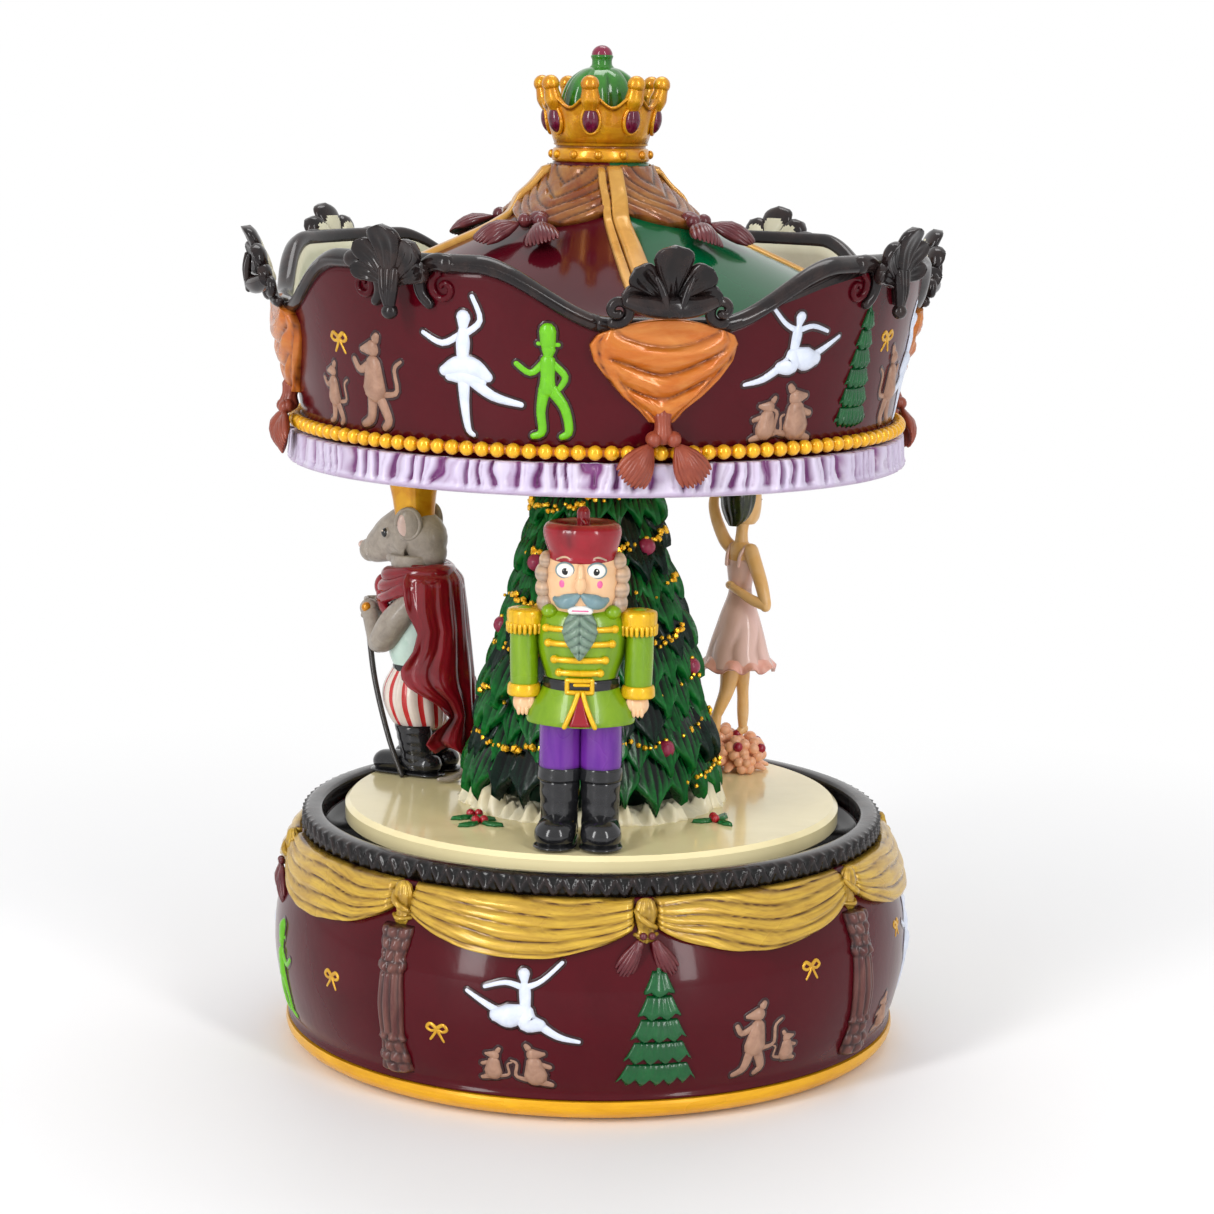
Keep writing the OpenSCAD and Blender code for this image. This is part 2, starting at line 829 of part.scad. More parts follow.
hub_r = 12;
hub_screw_ring = 8.5;
hub_screw_r = 1.2;
module drive_hub() {
  color(steel)
    translate([0, 0, hub_z])
      difference() {
        cylinder(r = hub_r, h = platform_z - hub_z);
        translate([0, 0, -1])
          cylinder(r = spindle_r, h = platform_z - hub_z + 2);
        around(3)
          translate([hub_screw_ring, 0, -1])
            cylinder(r = hub_screw_r + 0.1, h = platform_z - hub_z + 2);
      }
}

module hub_screws() {
  color(steel)
    around(3)
      translate([hub_screw_ring, 0, hub_z + 0.6])
        cylinder(r = hub_screw_r, h = platform_z - hub_z + 2.4);
}

module platform() {
  edge = 1;
  color(cream)
    difference() {
      rotate_extrude()
        polygon([
          [0, platform_z], [platform_r - edge, platform_z], [platform_r, platform_z + edge],
          [platform_r, stage_z - edge], [platform_r - edge, stage_z], [0, stage_z]
        ]);
      translate([0, 0, platform_z - 1])
        cylinder(r = spindle_r, h = platform_t + 2);
      around(3)
        translate([hub_screw_ring, 0, platform_z - 1])
          cylinder(r = hub_screw_r, h = 4);
    }
}

sleeve_r = 4;
mound_h = 2.2;
function mound_edge(turn) = tree_foot_r + 3.6 + 1.6 * sin(turn * 5) + 1.2 * cos(turn * 9 + 30);
module snow_mound() {
  color("#f3ecd2")
    turned(
      function(turn) [
        [sleeve_r + 0.1, stage_z + mound_h], [sleeve_r + 0.1, stage_z],
        [mound_edge(turn), stage_z], [mound_edge(turn) - 2, stage_z + 0.8 * mound_h],
        [tree_foot_r - 3, stage_z + mound_h]
      ],
      60
    );
}

sprig_turns = [-66, 64, 180];
module holly_sprigs() {
  color(fir)
    for (turn = sprig_turns)
      rotate(turn)
        translate([0, -tree_foot_r - 9, stage_z])
          union() {
            for (a = [20, 160, 250])
              rotate(a)
                translate([0.6, 0, 0])
                  linear_extrude(0.7)
                    polygon([[0, 0], [1.4, 0.9], [2.8, 0.5], [4.2, 0.8], [5.4, 0], [4.2, -0.8],
                      [2.8, -0.5], [1.4, -0.9]]);
            for (a = [90, 210])
              rotate(a)
                translate([0.9, 0, 1])
                  sphere(r = 0.9);
          }
}

module post_sleeve() {
  color(brass)
    translate([0, 0, stage_z])
      tube(sleeve_r, spindle_r + run_gap, ceiling_z - stage_z);
}

tree_z = stage_z + mound_h;
tree_h = roof_z - tree_z + 0.8;
tier_h = tree_h / tree_tiers;
// Outer section of one tier: it spreads to its lobed hem and tucks in below it
function tier_r(t) = mix(tree_foot_r, tree_top_r, t / tree_tiers);
function tree_section(turn) = concat(
  [[sleeve_r + 0.1, tree_z + tree_h], [sleeve_r + 0.1, tree_z]],
  [
    for (t = [0 : tree_tiers - 1])
      let (
        lobe = cos(tree_lobes * turn + 180 * t),
        foot = tree_z + t * tier_h + (t > 0 ? 0.6 * (1 - lobe) : 0)
      )
      each [
        [tier_r(t) - 3.4, tree_z + t * tier_h + (t > 0 ? 0.8 : 0)],
        [tier_r(t) + 0.9 * lobe, foot + 1.6],
        [tier_r(t) - 0.8 + 0.6 * lobe, foot + 0.45 * tier_h]
      ]
  ],
  [[tree_top_r - 2, tree_z + tree_h]]
);
module tree() {
  color(fir)
    turned(function(turn) tree_section(turn), 3 * tree_lobes);
}

// Garland spots and baubles hang on the tiers' hems
garland_count = 40;
spot_r = 0.9;
bauble_r = 1.7;
bauble_count = 12;
// Hangs a ball of radius r on the hem of tier t at a turn
module on_hem(t, turn, r) {
  lobe = cos(tree_lobes * turn + 180 * t);
  translate(polar(tier_r(t) + 0.9 * lobe + r + 0.3, turn, tree_z + t * tier_h + 2.2))
    sphere(r = r);
}
module tree_garland() {
  color("#d9a520")
    for (i = [0 : garland_count - 1])
      on_hem(floor(i * tree_tiers / garland_count), i * 137.5, spot_r);
}
module tree_baubles() {
  color("#7a1030")
    for (i = [0 : bauble_count - 1])
      on_hem(floor(i * tree_tiers / bauble_count), i * 99 + 58, bauble_r);
}

// ---------- figures ----------

// Stands children on the platform at a turn, facing outwards
module on_stage(i) {
  rotate(figure_turns[i])
    translate([0, -figure_ring_r, stage_z])
      children();
}

module soldier_figure() {
  color("#7fae1f")
    on_stage(0) {
      for (side = [-1, 1]) {
        translate([side * 4.9, 0, 0])
          hull() {
            translate([0, -3, 3.6])
              sphere(r = 3.6, $fn = 24);
            translate([0, 1.4, 0])
              cylinder(r = 3.8, h = 4, $fn = 24);
          }
        translate([side * 4.3, 1, 3])
          cylinder(r = 4.1, h = 13);
        translate([side * 4, 1, 16])
          cylinder(r = 3.9, h = 12);
        rod([side * 11.8, 0.6, 28], [side * 11.6, 0.8, 47.4], 3, 3.2);
        translate([side * 11.7, 0.8, 45.8])
          cylinder(r = 3.6, h = 3);
      }
      translate([0, 1, 27.4])
        cylinder(r1 = 10.4, r2 = 7.6, h = 9);
      translate([0, 1, 35])
        cylinder(r1 = 7.6, r2 = 9, h = 14);
      translate([0, 0.6, 48])
        cylinder(r = 8.8, h = 2);
      translate([0, 0.6, 50])
        cylinder(r1 = 8.8, r2 = 7.8, h = 11);
      translate([0, 0.6, 61])
        cylinder(r1 = 6.4, r2 = 8.2, h = 6);
      translate([0, 0.6, 67])
        cylinder(r1 = 8.2, r2 = 6.4, h = 2.2);
      translate([0, 0.6, 70])
        sphere(r = 1.8);
    }
}

// Rounded limb through a list of [x, y, z, radius]
module limb(joints) {
  for (i = [0 : len(joints) - 2])
    hull()
      for (j = [joints[i], joints[i + 1]])
        translate([j[0], j[1], j[2]])
          sphere(r = j[3], $fn = 10);
}

// Cloak: half widths, middle depth and depth of each row from the hem up
cloak_rows = [[6, 8.6, 2.6, 6.4], [16, 9.2, 3.2, 7], [30, 8, 2.8, 5.8], [41, 6.8, 1.8, 5], [45.6, 4.8, 1.2, 3.8]];
module mouse_figure() {
  color("#8a2230")
    on_stage(1) {
      limb([[-3.4, -6.4, 2.2, 2.2], [-3.6, 4, 2.6, 2.6]]);
      limb([[3.4, -6.4, 2.2, 2.2], [3.6, 4, 2.6, 2.6]]);
      translate([0, 1.4, 3])
        cylinder(r = 6.2, h = 8, $fn = 24);
      limb([[0, 0.4, 15, 7.2], [0, 0.6, 18, 7], [0, 1, 30, 6.2], [0, 0.8, 41, 5.4]]);
      skin([
        for (row = cloak_rows)
          [for (a = [0 : 24 : 336]) [row[1] * cos(a), row[2] + row[3] * sin(a), row[0]]]
      ]);
      for (side = [-1, 1])
        limb([[side * 6.4, 0, 39, 2.6], [side * 5, -5.6, 31.4, 2.8], [side * 1.8, -8.6, 36.4, 2]]);
      limb([[0, 0.6, 50.2, 6], [0, -5, 51.4, 4.2], [0, -11.6, 51.2, 1.3]]);
      for (side = [-1, 1])
        translate([side * 5, 0.4, 56.6])
          rotate([78, 0, side * 20])
            cylinder(r = 3.1, h = 1.4, $fn = 16, center = true);
      translate([0, 1.4, 55])
        cylinder(r1 = 3.8, r2 = 4.6, h = 8, $fn = 20);
    }
}

module dancer_figure() {
  color("#d9a878")
    on_stage(2) {
      for (bloom = [[-3.4, 1.6, 3.4, 3.2], [3.2, 2.4, 3.4, 3.2], [0, -3.2, 3.4, 3.2], [0.6, 1.4, 6.6, 3.4]])
        limb([[bloom[0], bloom[1], 1.6, 1.6], bloom]);
      limb([[-0.4, -1.6, 8, 1.2], [-0.2, -1.2, 18, 1.7], [-0.6, 0, 26, 2.2]]);
      limb([[0.8, 5.8, 6.6, 0.9], [1, 4.8, 9.4, 1], [0.8, 1, 19, 1.6], [0.6, 0.2, 26, 2.2]]);
      translate([0, 0, 22.4])
        cylinder(r1 = 8.4, r2 = 2.9, h = 19, $fn = 24);
      limb([[0, 0, 41, 2.6], [0, 0, 48, 3.2]]);
      limb([[-3.6, 0, 50, 1.7], [3.6, 0, 50, 1.7]]);
      limb([[0, 0, 51, 1.5], [0, -0.6, 57, 1.5]]);
      limb([[0, -1, 61, 4], [0, 0.6, 63, 4.4]]);
      limb([[-4, 0, 50, 1.4], [-5.6, 1.6, 39.4, 1.3], [-1, 4, 40.6, 1]]);
      limb([[4, 0, 50, 1.4], [8.6, -0.6, 60, 1.2], [9, -2, 68, 0.8]]);
    }
}

// ---------- roof ----------

// Valance: radius at a height above its foot, and the wave of its top edge
valance_foot_r = frill_r - 3.8;
function valance_r(z) =
  let (t = (z - valance_z) / valance_h) valance_foot_r + valance_lean * t * (0.75 + 0.25 * t);
// Inner radius of the valance at a height, where the valance is tallest
function valance_in_r(z) =
  mix(valance_foot_r - 2, valance_foot_r + valance_lean, (z - valance_z) / valance_h) - valance_t;
function from_valley(turn) = let (t = turn - roof_phase + 765) abs(t - 90 * floor(t / 90) - 45);
function edge_z(turn) =
  let (t = max(0, min(1, (from_valley(turn) - valley_half) / (hump_from - valley_half))))
  valance_z + valance_h - valance_dip * (1 - t * t * (3 - 2 * t));

module roof_valance() {
  color(wine)
    turned(
      function(turn) let (top = edge_z(turn)) concat(
        [[valance_r(top) - valance_t, top], [valance_r(valance_z) - valance_t - 2, valance_z]],
        [for (t = [0, 0.25, 0.5, 0.75, 1]) let (z = mix(valance_z, top, t)) [valance_r(z), z]]
      ),
      96
    );
}

pleat_depth = 0.8;
frill_in_r = frill_r - 7;
module roof_frill() {
  color("#d9cde2")
    turned(
      function(turn)
        let (p = pleat_depth * (0.5 + 0.5 * cos(pleat_count * turn)))
        [
          [frill_in_r, frill_top], [frill_in_r, roof_z], [frill_r - p, roof_z],
          [frill_r - 0.6 - p, frill_top]
        ],
      2 * pleat_count
    );
}

module roof_ceiling() {
  color(cream)
    translate([0, 0, ceiling_z])
      tube(frill_in_r - 0.1, spindle_r + run_gap, ceiling_t);
}

bead_ring_r = valance_r(bead_z) + bead_r + 0.1;
module bead_row() {
  color(gilt)
    around(bead_count)
      translate([0, -bead_ring_r, bead_z])
        sphere(r = bead_r);
}

moulding_r = 1.9;
// Dark moulding laid along the wave between the crests
module roof_moulding() {
  steps = 80;
  color(iron)
    skin([
      for (i = [0 : steps - 1])
        let (turn = i * 360 / steps, z = edge_z(turn) + moulding_r + 0.2, r = valance_r(z) - valance_t / 2)
        [for (a = [0 : 45 : 315]) polar(r + moulding_r * sin(a), turn, z + moulding_r * cos(a))]
    ], ring = true);
}

// Fan of rounded leaves, wider than tall; lobes is a list of [tilt, reach, radius]
module leaf_fan(lobes, thick) {
  for (l = lobes)
    hull() {
      sphere(r = thick, $fn = 8);
      translate([l[1] * sin(l[0]), -0.8, l[1] * cos(l[0])])
        sphere(r = l[2], $fn = 8);
    }
}
crest_stand = 3.3;
crest_lean = 9;
module crest_at(turn, z) {
  rotate(turn)
    translate([0, -valance_r(z) - crest_stand, z])
      rotate([crest_lean, 0, 0])
        children();
}
module valley_crests() {
  color(iron)
    for (k = [0 : 3])
      crest_at(roof_phase + 90 * k, edge_z(roof_phase) + 5.4)
        leaf_fan([[-90, 9.8, 2.2], [-50, 8.9, 2.8], [0, 9.4, 3], [50, 8.9, 2.8], [90, 9.8, 2.2]], 2.4);
}
module hump_crests() {
  color(iron)
    for (k = [0 : 3])
      crest_at(roof_phase + 45 + 90 * k, edge_z(roof_phase + 45) - 3)
        leaf_fan([[-50, 8.4, 2.2], [0, 9.8, 2.6], [50, 8.4, 2.2], [180, 5.2, 1.4]], 2.3);
}

// Gathered cloth hung under each valley crest
drape_half = 12.6;
drape_top = -2.2;
drape_len = 16;
sheet_gap = 0.2;
function drape_point(mid, u, v, stand) =
  let (
    side = 2 * u - 1,
    width = mix(drape_half, 1.6, pow(v, 1.7)),
    z = edge_z(mid) + drape_top - drape_len * v + 3 * side * side * (1 - v) * 0.6,
    fold = 0.4 * sin(v * 360 * 3.5) * (1 - side * side)
  )
  polar(valance_r(z) + sheet_gap + stand * (0.7 + (1 - side * side) * 1.5 + fold), mid + width * side, z);
module valance_drapes() {
  color(bronze)
    for (k = [0 : 3])
      let (mid = roof_phase + 90 * k)
        padded_sheet(
          function(u, v) drape_point(mid, u, v, 1),
          function(u, v) drape_point(mid, u, v, 0),
          8, 7
        );
}

drape_tassel_z = edge_z(roof_phase) + drape_top - drape_len - 1.2;
module drape_tassels() {
  reach = bead_ring_r + bead_r + 1.9;
  color("#8c4032")
    around(4, roof_phase)
      for (side = [-1, 1])
        translate([side * 1.7, -reach, drape_tassel_z])
          hanging_tassel(drape_tassel_z - roof_z - 2.2, 1.5, side * 4.4);
}

// Tent: radius and height above the roof's lower edge, from the neck to the eaves
eave_z = neck_z - 33;
eave_r = valance_in_r(roof_z + eave_z) - 0.2;
tent_line = [
  [neck_r, neck_z], [neck_r + 1.2, neck_z - 3], [neck_r + 3.2, neck_z - 6], [neck_r + 7, neck_z - 9.5],
  [neck_r + 13.8, neck_z - 14], [neck_r + 24.8, neck_z - 19], [neck_r + 36.8, neck_z - 24.4],
  [neck_r + 47.8, neck_z - 29.6], [eave_r, eave_z]
];
tent_curve = softened(tent_line);
function tent_z(r) = roof_z + along(tent_curve, r);
tent_t = 2.2;
module roof_tent() {
  top = [for (p = tent_curve) [p[0], roof_z + p[1]]];
  color(wine)
    rotate_extrude()
      polygon(concat(
        top,
        [for (i = [len(top) - 1 : -1 : 1]) [top[i][0] - 0.9, top[i][1] - tent_t]],
        [[spindle_r + run_gap, neck_top - 5], [spindle_r + run_gap, neck_top]]
      ));
}

rib_w = 1.5;
rib_h = 1.2;
module tent_ribs() {
  rows = [for (t = [0.16 : 0.12 : 0.96]) mix(neck_r, eave_r - 1, t * t)];
  color(bronze)
    for (k = [0 : 3])
      rotate(roof_phase + 90 * k)
        skin([
          for (r = rows)
            let (z = tent_z(r) + 0.12)
            [[-rib_w, -r - 0.1, z], [rib_w, -r - 0.1, z], [rib_w * 0.7, -r - 0.5, z + rib_h],
              [-rib_w * 0.7, -r - 0.5, z + rib_h]]
        ]);
}

// Cloth tied round the top of the tent, one swag between each pair of ribs
function tent_swag_point(first, u, v, stand) =
  let (
    sag = 4 * u * (1 - u),
    turn = first + 7 + u * 76,
    r = neck_r + 0.8 + v * mix(5, 14, sag),
    fold = 0.3 * sin(v * 360 * 3)
  )
  polar(r, turn, tent_z(r) + 0.25 + stand * (0.8 + fold + 0.5 * sin(180 * v)));
module tent_swags() {
  color(bronze)
    for (k = [0 : 3])
      let (first = roof_phase + 90 * k)
        padded_sheet(
          function(u, v) tent_swag_point(first, u, v, 1),
          function(u, v) tent_swag_point(first, u, v, 0),
          10, 6
        );
}

// ---------- crown ----------

crown_phase = roof_phase - 22;
band_r = neck_r + 0.1;
crown_wall = 1.3;
bowl_r = crown_r - 2.4;
point_ball_r = 1.8;
module crown() {
  color(gilt) {
    turned(
      function(turn) let (
        point = cos(crown_points * (turn - crown_phase)),
        top = crown_z + crown_h - 5.2 + 1.9 * point,
        lip_r = crown_r - 0.4 + 0.6 * point
      ) [
        [spindle_r + run_gap, crown_z + 3.4], [spindle_r + run_gap, crown_z],
        [band_r, crown_z], [band_r + 0.3, crown_z + 1.6], [band_r, crown_z + 3],
        [band_r - 0.6, crown_z + 3.8], [bowl_r, crown_z + 7], [lip_r, top],
        [lip_r - crown_wall, top], [bowl_r - crown_wall, crown_z + 7],
        [band_r - 2.2, crown_z + 4.6], [nut_r + 1, crown_z + 3.4]
      ],
      48
    );
    around(crown_points, crown_phase)
      translate([0, -crown_r, crown_z + crown_h - point_ball_r])
        sphere(r = point_ball_r, $fn = 14);
  }
}

// Oval gem, flat at the back and domed in front: rows of depth and size
jewel_rows = [[0, 1], [0.7, 0.9], [1.2, 0.5]];
module crown_jewels() {
  color("#6d1238")
    around(crown_points, crown_phase)
      translate([0, -bowl_r - 1, crown_z + 8.8])
        rotate([12, 0, 0])
          skin([
            for (row = jewel_rows)
              [for (a = [0 : 30 : 330]) [1.8 * row[1] * cos(a), -row[0], 2.7 * row[1] * sin(a)]]
          ]);
}

cap_z = crown_z + 9;
cap_h = 10.7;
nut_r = 3.4;
module crown_cap() {
  gore = 8;
  rows = [[0, 1], [0.3, 0.96], [0.6, 0.8], [0.8, 0.6], [0.93, 0.36], [1, 0.2]];
  color("#2f7a2a")
    union() {
      skin([
        for (row = rows)
          [
            for (a = [0 : 7.5 : 352.5])
              let (r = cap_r * row[1] * (1 - 0.07 * abs(sin(gore * a / 2 + 90))))
              polar(r, a, cap_z + cap_h * row[0])
          ]
      ]);
      translate([0, 0, cap_z + cap_h - 0.1])
        cylinder(r1 = 2, r2 = 1.8, h = knob_h - 2);
      translate([0, 0, cap_z + cap_h + knob_h - 2])
        sphere(r = 2);
    }
}

module roof_nut() {
  color(steel)
    translate([0, 0, crown_z + 3.4])
      linear_extrude(3)
        difference() {
          circle(nut_r, $fn = 6);
          circle(spindle_r);
        }
}

base_shell();
foot_band();
rim_ring();
base_swags();
base_knots();
base_pilasters();
base_tassels();
closing_plate();
plate_screws();
felt_ring();
spindle_bush();
thrust_washer();
bedplate();
bedplate_screws();
comb_block();
comb();
comb_screws();
cylinder_brackets();
governor_frame();
mainspring();
click();
winding_key();
winding_arbor();
ratchet_wheel();
spring_barrel();
great_wheel();
music_cylinder();
cylinder_arbor();
governor_wheel();
worm_and_fly();
spindle();
spindle_pinion();
drive_hub();
hub_screws();
platform();
snow_mound();
holly_sprigs();
post_sleeve();
tree();
tree_garland();
tree_baubles();
soldier_figure();
mouse_figure();
dancer_figure();
roof_ceiling();
roof_frill();
bead_row();
roof_valance();
roof_moulding();
valley_crests();
hump_crests();
valance_drapes();
drape_tassels();
roof_tent();
tent_ribs();
tent_swags();
crown();
crown_jewels();
crown_cap();
roof_nut();
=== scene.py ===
"""Carousel music box: the finished surfaces of a revolving music box, modelled over its CAD frame."""

import json
import sys
from math import atan2, copysign, cos, degrees, floor, hypot, pi, radians, sin, sqrt

import bmesh
import bpy
from mathutils import Matrix, Vector, noise
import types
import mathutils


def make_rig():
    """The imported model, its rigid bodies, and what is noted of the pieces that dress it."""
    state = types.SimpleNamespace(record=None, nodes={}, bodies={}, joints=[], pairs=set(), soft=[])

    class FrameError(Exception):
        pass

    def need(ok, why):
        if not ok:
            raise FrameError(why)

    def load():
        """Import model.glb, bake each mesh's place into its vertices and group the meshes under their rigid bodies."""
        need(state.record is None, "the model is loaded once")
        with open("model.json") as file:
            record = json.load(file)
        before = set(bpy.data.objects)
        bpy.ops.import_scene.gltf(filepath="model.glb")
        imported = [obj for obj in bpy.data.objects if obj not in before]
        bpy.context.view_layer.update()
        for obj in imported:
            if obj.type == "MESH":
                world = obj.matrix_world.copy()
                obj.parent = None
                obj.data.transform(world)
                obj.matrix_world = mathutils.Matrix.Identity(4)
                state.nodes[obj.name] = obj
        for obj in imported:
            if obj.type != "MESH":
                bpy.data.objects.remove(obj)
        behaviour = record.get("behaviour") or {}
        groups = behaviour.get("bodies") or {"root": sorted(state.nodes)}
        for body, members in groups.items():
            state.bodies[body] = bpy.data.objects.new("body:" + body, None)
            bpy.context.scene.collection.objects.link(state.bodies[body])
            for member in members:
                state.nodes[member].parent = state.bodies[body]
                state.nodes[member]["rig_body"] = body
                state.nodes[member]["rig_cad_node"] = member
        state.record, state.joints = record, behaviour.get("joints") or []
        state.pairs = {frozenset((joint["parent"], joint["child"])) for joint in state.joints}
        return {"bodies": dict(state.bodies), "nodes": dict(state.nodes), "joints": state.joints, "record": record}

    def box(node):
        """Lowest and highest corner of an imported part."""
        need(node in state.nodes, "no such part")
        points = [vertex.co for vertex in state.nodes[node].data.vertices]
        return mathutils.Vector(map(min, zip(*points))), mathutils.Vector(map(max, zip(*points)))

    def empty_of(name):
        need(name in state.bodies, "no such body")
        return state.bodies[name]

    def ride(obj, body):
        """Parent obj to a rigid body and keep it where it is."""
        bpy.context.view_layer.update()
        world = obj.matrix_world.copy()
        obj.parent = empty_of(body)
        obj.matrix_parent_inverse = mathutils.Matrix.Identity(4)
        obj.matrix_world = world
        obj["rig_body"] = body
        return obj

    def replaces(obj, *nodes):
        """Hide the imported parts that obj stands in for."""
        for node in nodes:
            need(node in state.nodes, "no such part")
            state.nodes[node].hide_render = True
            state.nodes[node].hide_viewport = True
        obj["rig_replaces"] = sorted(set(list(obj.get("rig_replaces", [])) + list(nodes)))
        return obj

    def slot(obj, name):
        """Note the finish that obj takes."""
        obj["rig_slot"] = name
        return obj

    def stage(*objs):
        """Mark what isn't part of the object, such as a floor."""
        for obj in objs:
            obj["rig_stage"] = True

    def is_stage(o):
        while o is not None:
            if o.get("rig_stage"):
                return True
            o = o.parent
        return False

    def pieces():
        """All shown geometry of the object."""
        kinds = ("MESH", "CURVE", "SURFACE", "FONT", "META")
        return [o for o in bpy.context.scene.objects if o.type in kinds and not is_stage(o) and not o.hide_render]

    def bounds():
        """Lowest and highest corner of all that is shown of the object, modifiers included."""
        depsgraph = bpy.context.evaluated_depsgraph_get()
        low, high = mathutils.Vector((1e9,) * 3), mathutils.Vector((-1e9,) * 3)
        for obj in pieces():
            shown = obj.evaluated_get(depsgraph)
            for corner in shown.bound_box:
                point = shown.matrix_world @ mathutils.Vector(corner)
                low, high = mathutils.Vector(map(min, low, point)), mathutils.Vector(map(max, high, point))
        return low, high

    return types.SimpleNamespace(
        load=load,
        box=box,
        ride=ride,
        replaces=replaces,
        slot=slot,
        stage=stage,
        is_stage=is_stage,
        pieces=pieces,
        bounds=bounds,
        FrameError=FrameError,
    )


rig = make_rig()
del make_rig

bl_info = {
    "name": "Carousel Music Box",
    "version": (1, 0, 0),
    "blender": (4, 5, 0),
    "location": "3D View > Sidebar > Carousel",
    "description": "Models and paints a revolving carousel music box over its CAD frame",
    "category": "Add Mesh",
}

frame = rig.load()
CAD_BOUNDS = [list(corner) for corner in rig.bounds()]
MM = 0.001
TAU = 2 * pi

# ---------------------------------------------------------------- sizes from the frame, in mm


def low(node):
    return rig.box(node)[0][2] / MM


def high(node):
    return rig.box(node)[1][2] / MM


DRUM_TOP = high("base_shell")
RIM_TOP = high("rim_ring")
STAGE = high("platform")
ROOF_FOOT = low("roof_frill")
FRILL_TOP = high("roof_frill")
NECK_TOP = high("roof_tent")
CROWN_TOP = high("crown_cap")
BASE_PHASE = 10
ROOF_PHASE = 11.4
RIM_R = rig.box("rim_ring")[1][0] / MM
WELL_R = RIM_R - 4.6
FRILL_R = 67
SPINDLE_R = 4.1
VALANCE_FOOT_R = 63.2
VALANCE_H = 37
VALANCE_DIP = 11
VALANCE_LEAN = 7
VALANCE_T = 2.6
CREST_LEAN = 9
NECK_R = 10.2
FIGURE_RING = 44
SOLDIER_TURN, MOUSE_TURN, DANCER_TURN = -3, -119, 131

# The drum's radius at each height, and the tent's height above the roof's foot at each radius
DRUM_LINE = (
    (0, 61.8), (1.2, 65.4), (3, 67.3), (5, 67.3), (6.5, 66.5), (10, 67.8), (16, 69.2),
    (22, 69.8), (29, 69.4), (36, 67.8), (42.1, 65.4), (46.6, 63.8),
)
TENT_LINE = (
    (10.2, 63.5), (11.4, 60.5), (13.4, 57.5), (17.2, 54), (24, 49.5), (35, 44.5),
    (47, 39.1), (58, 33.9), (64.2, 30.5),
)


def along(table, x):
    """Straight-line reading of a table of (x, value) pairs."""
    if x <= table[0][0]:
        return table[0][1]
    for (x0, y0), (x1, y1) in zip(table, table[1:]):
        if x <= x1:
            return y0 + (y1 - y0) * (x - x0) / (x1 - x0)
    return table[-1][1]


def mix(a, b, t):
    return a + (b - a) * t


def clamp(x, a=0, b=1):
    return max(a, min(b, x))


def ease(t):
    t = clamp(t)
    return t * t * (3 - 2 * t)


def smooth_line(points, steps):
    """Points along a soft curve through the given points of any length."""
    line = []
    last = len(points) - 1
    for i in range(steps + 1):
        x = i / steps * last
        k = min(int(x), last - 1)
        t = x - k
        p0, p1, p2, p3 = (points[clamp(k + j, 0, last)] for j in (-1, 0, 1, 2))
        line.append(tuple(
            0.5 * (2 * b + (c - a) * t + (2 * a - 5 * b + 4 * c - d) * t * t
                   + (3 * b - a - 3 * c + d) * t ** 3)
            for a, b, c, d in zip(p0, p1, p2, p3)
        ))
    return line


DRUM_CURVE = smooth_line(DRUM_LINE, 3 * (len(DRUM_LINE) - 1))
TENT_CURVE = smooth_line(TENT_LINE, 3 * (len(TENT_LINE) - 1))


def drum_r(z):
    return along(DRUM_CURVE, z)


def valance_r(z):
    t = (z - FRILL_TOP) / VALANCE_H
    return VALANCE_FOOT_R + VALANCE_LEAN * t * (0.75 + 0.25 * t)


def tent_z(r):
    return ROOF_FOOT + along(TENT_CURVE, r)


def from_valley(turn):
    return abs((turn - ROOF_PHASE + 45) % 90 - 45)


def edge_z(turn):
    rise = ease((from_valley(turn) - 9) / 22)
    return FRILL_TOP + VALANCE_H - VALANCE_DIP * (1 - rise)


def polar(r, turn, z):
    a = radians(turn)
    return Vector((r * sin(a), -r * cos(a), z))


def hills(x, sharp=1):
    """Rounded ridges, one for each whole number, with narrow grooves between them."""
    return abs(sin(pi * x)) ** sharp


def jitter(x, y=0, z=0):
    """Smooth fixed noise from -1 to 1."""
    return noise.noise(Vector((x, y, z)))


# ---------------------------------------------------------------- modelling


def blank():
    """Empty mesh with a layer for the painted shade in its grooves and recesses, and for grime."""
    bm = bmesh.new()
    bm.verts.layers.float.new("wash")
    return bm


def wash_layer(bm):
    return bm.verts.layers.float["wash"]


def faces_of(verts):
    return {f for v in verts for f in v.link_faces}


def sheet(bm, place, nu, nv, paint=0):
    """Grid of nu by nv faces; place(u, v) gives x, y, z in mm and, if wanted, the painted shade and grime at that
    point.
    """
    layer = wash_layer(bm)
    verts = bmesh.ops.create_grid(bm, x_segments=nu, y_segments=nv, size=0.5)["verts"]
    for v in verts:
        spot = place(v.co.x + 0.5, v.co.y + 0.5)
        v.co = spot[:3]
        if len(spot) > 3:
            v[layer] = spot[3]
    for f in faces_of(verts):
        f.material_index = paint
        f.smooth = True
    return verts


def at_edge(u, v):
    """Whether a point of a sheet lies on its edge, where it is sunk into what carries it."""
    return u in (0, 1) or v in (0, 1)


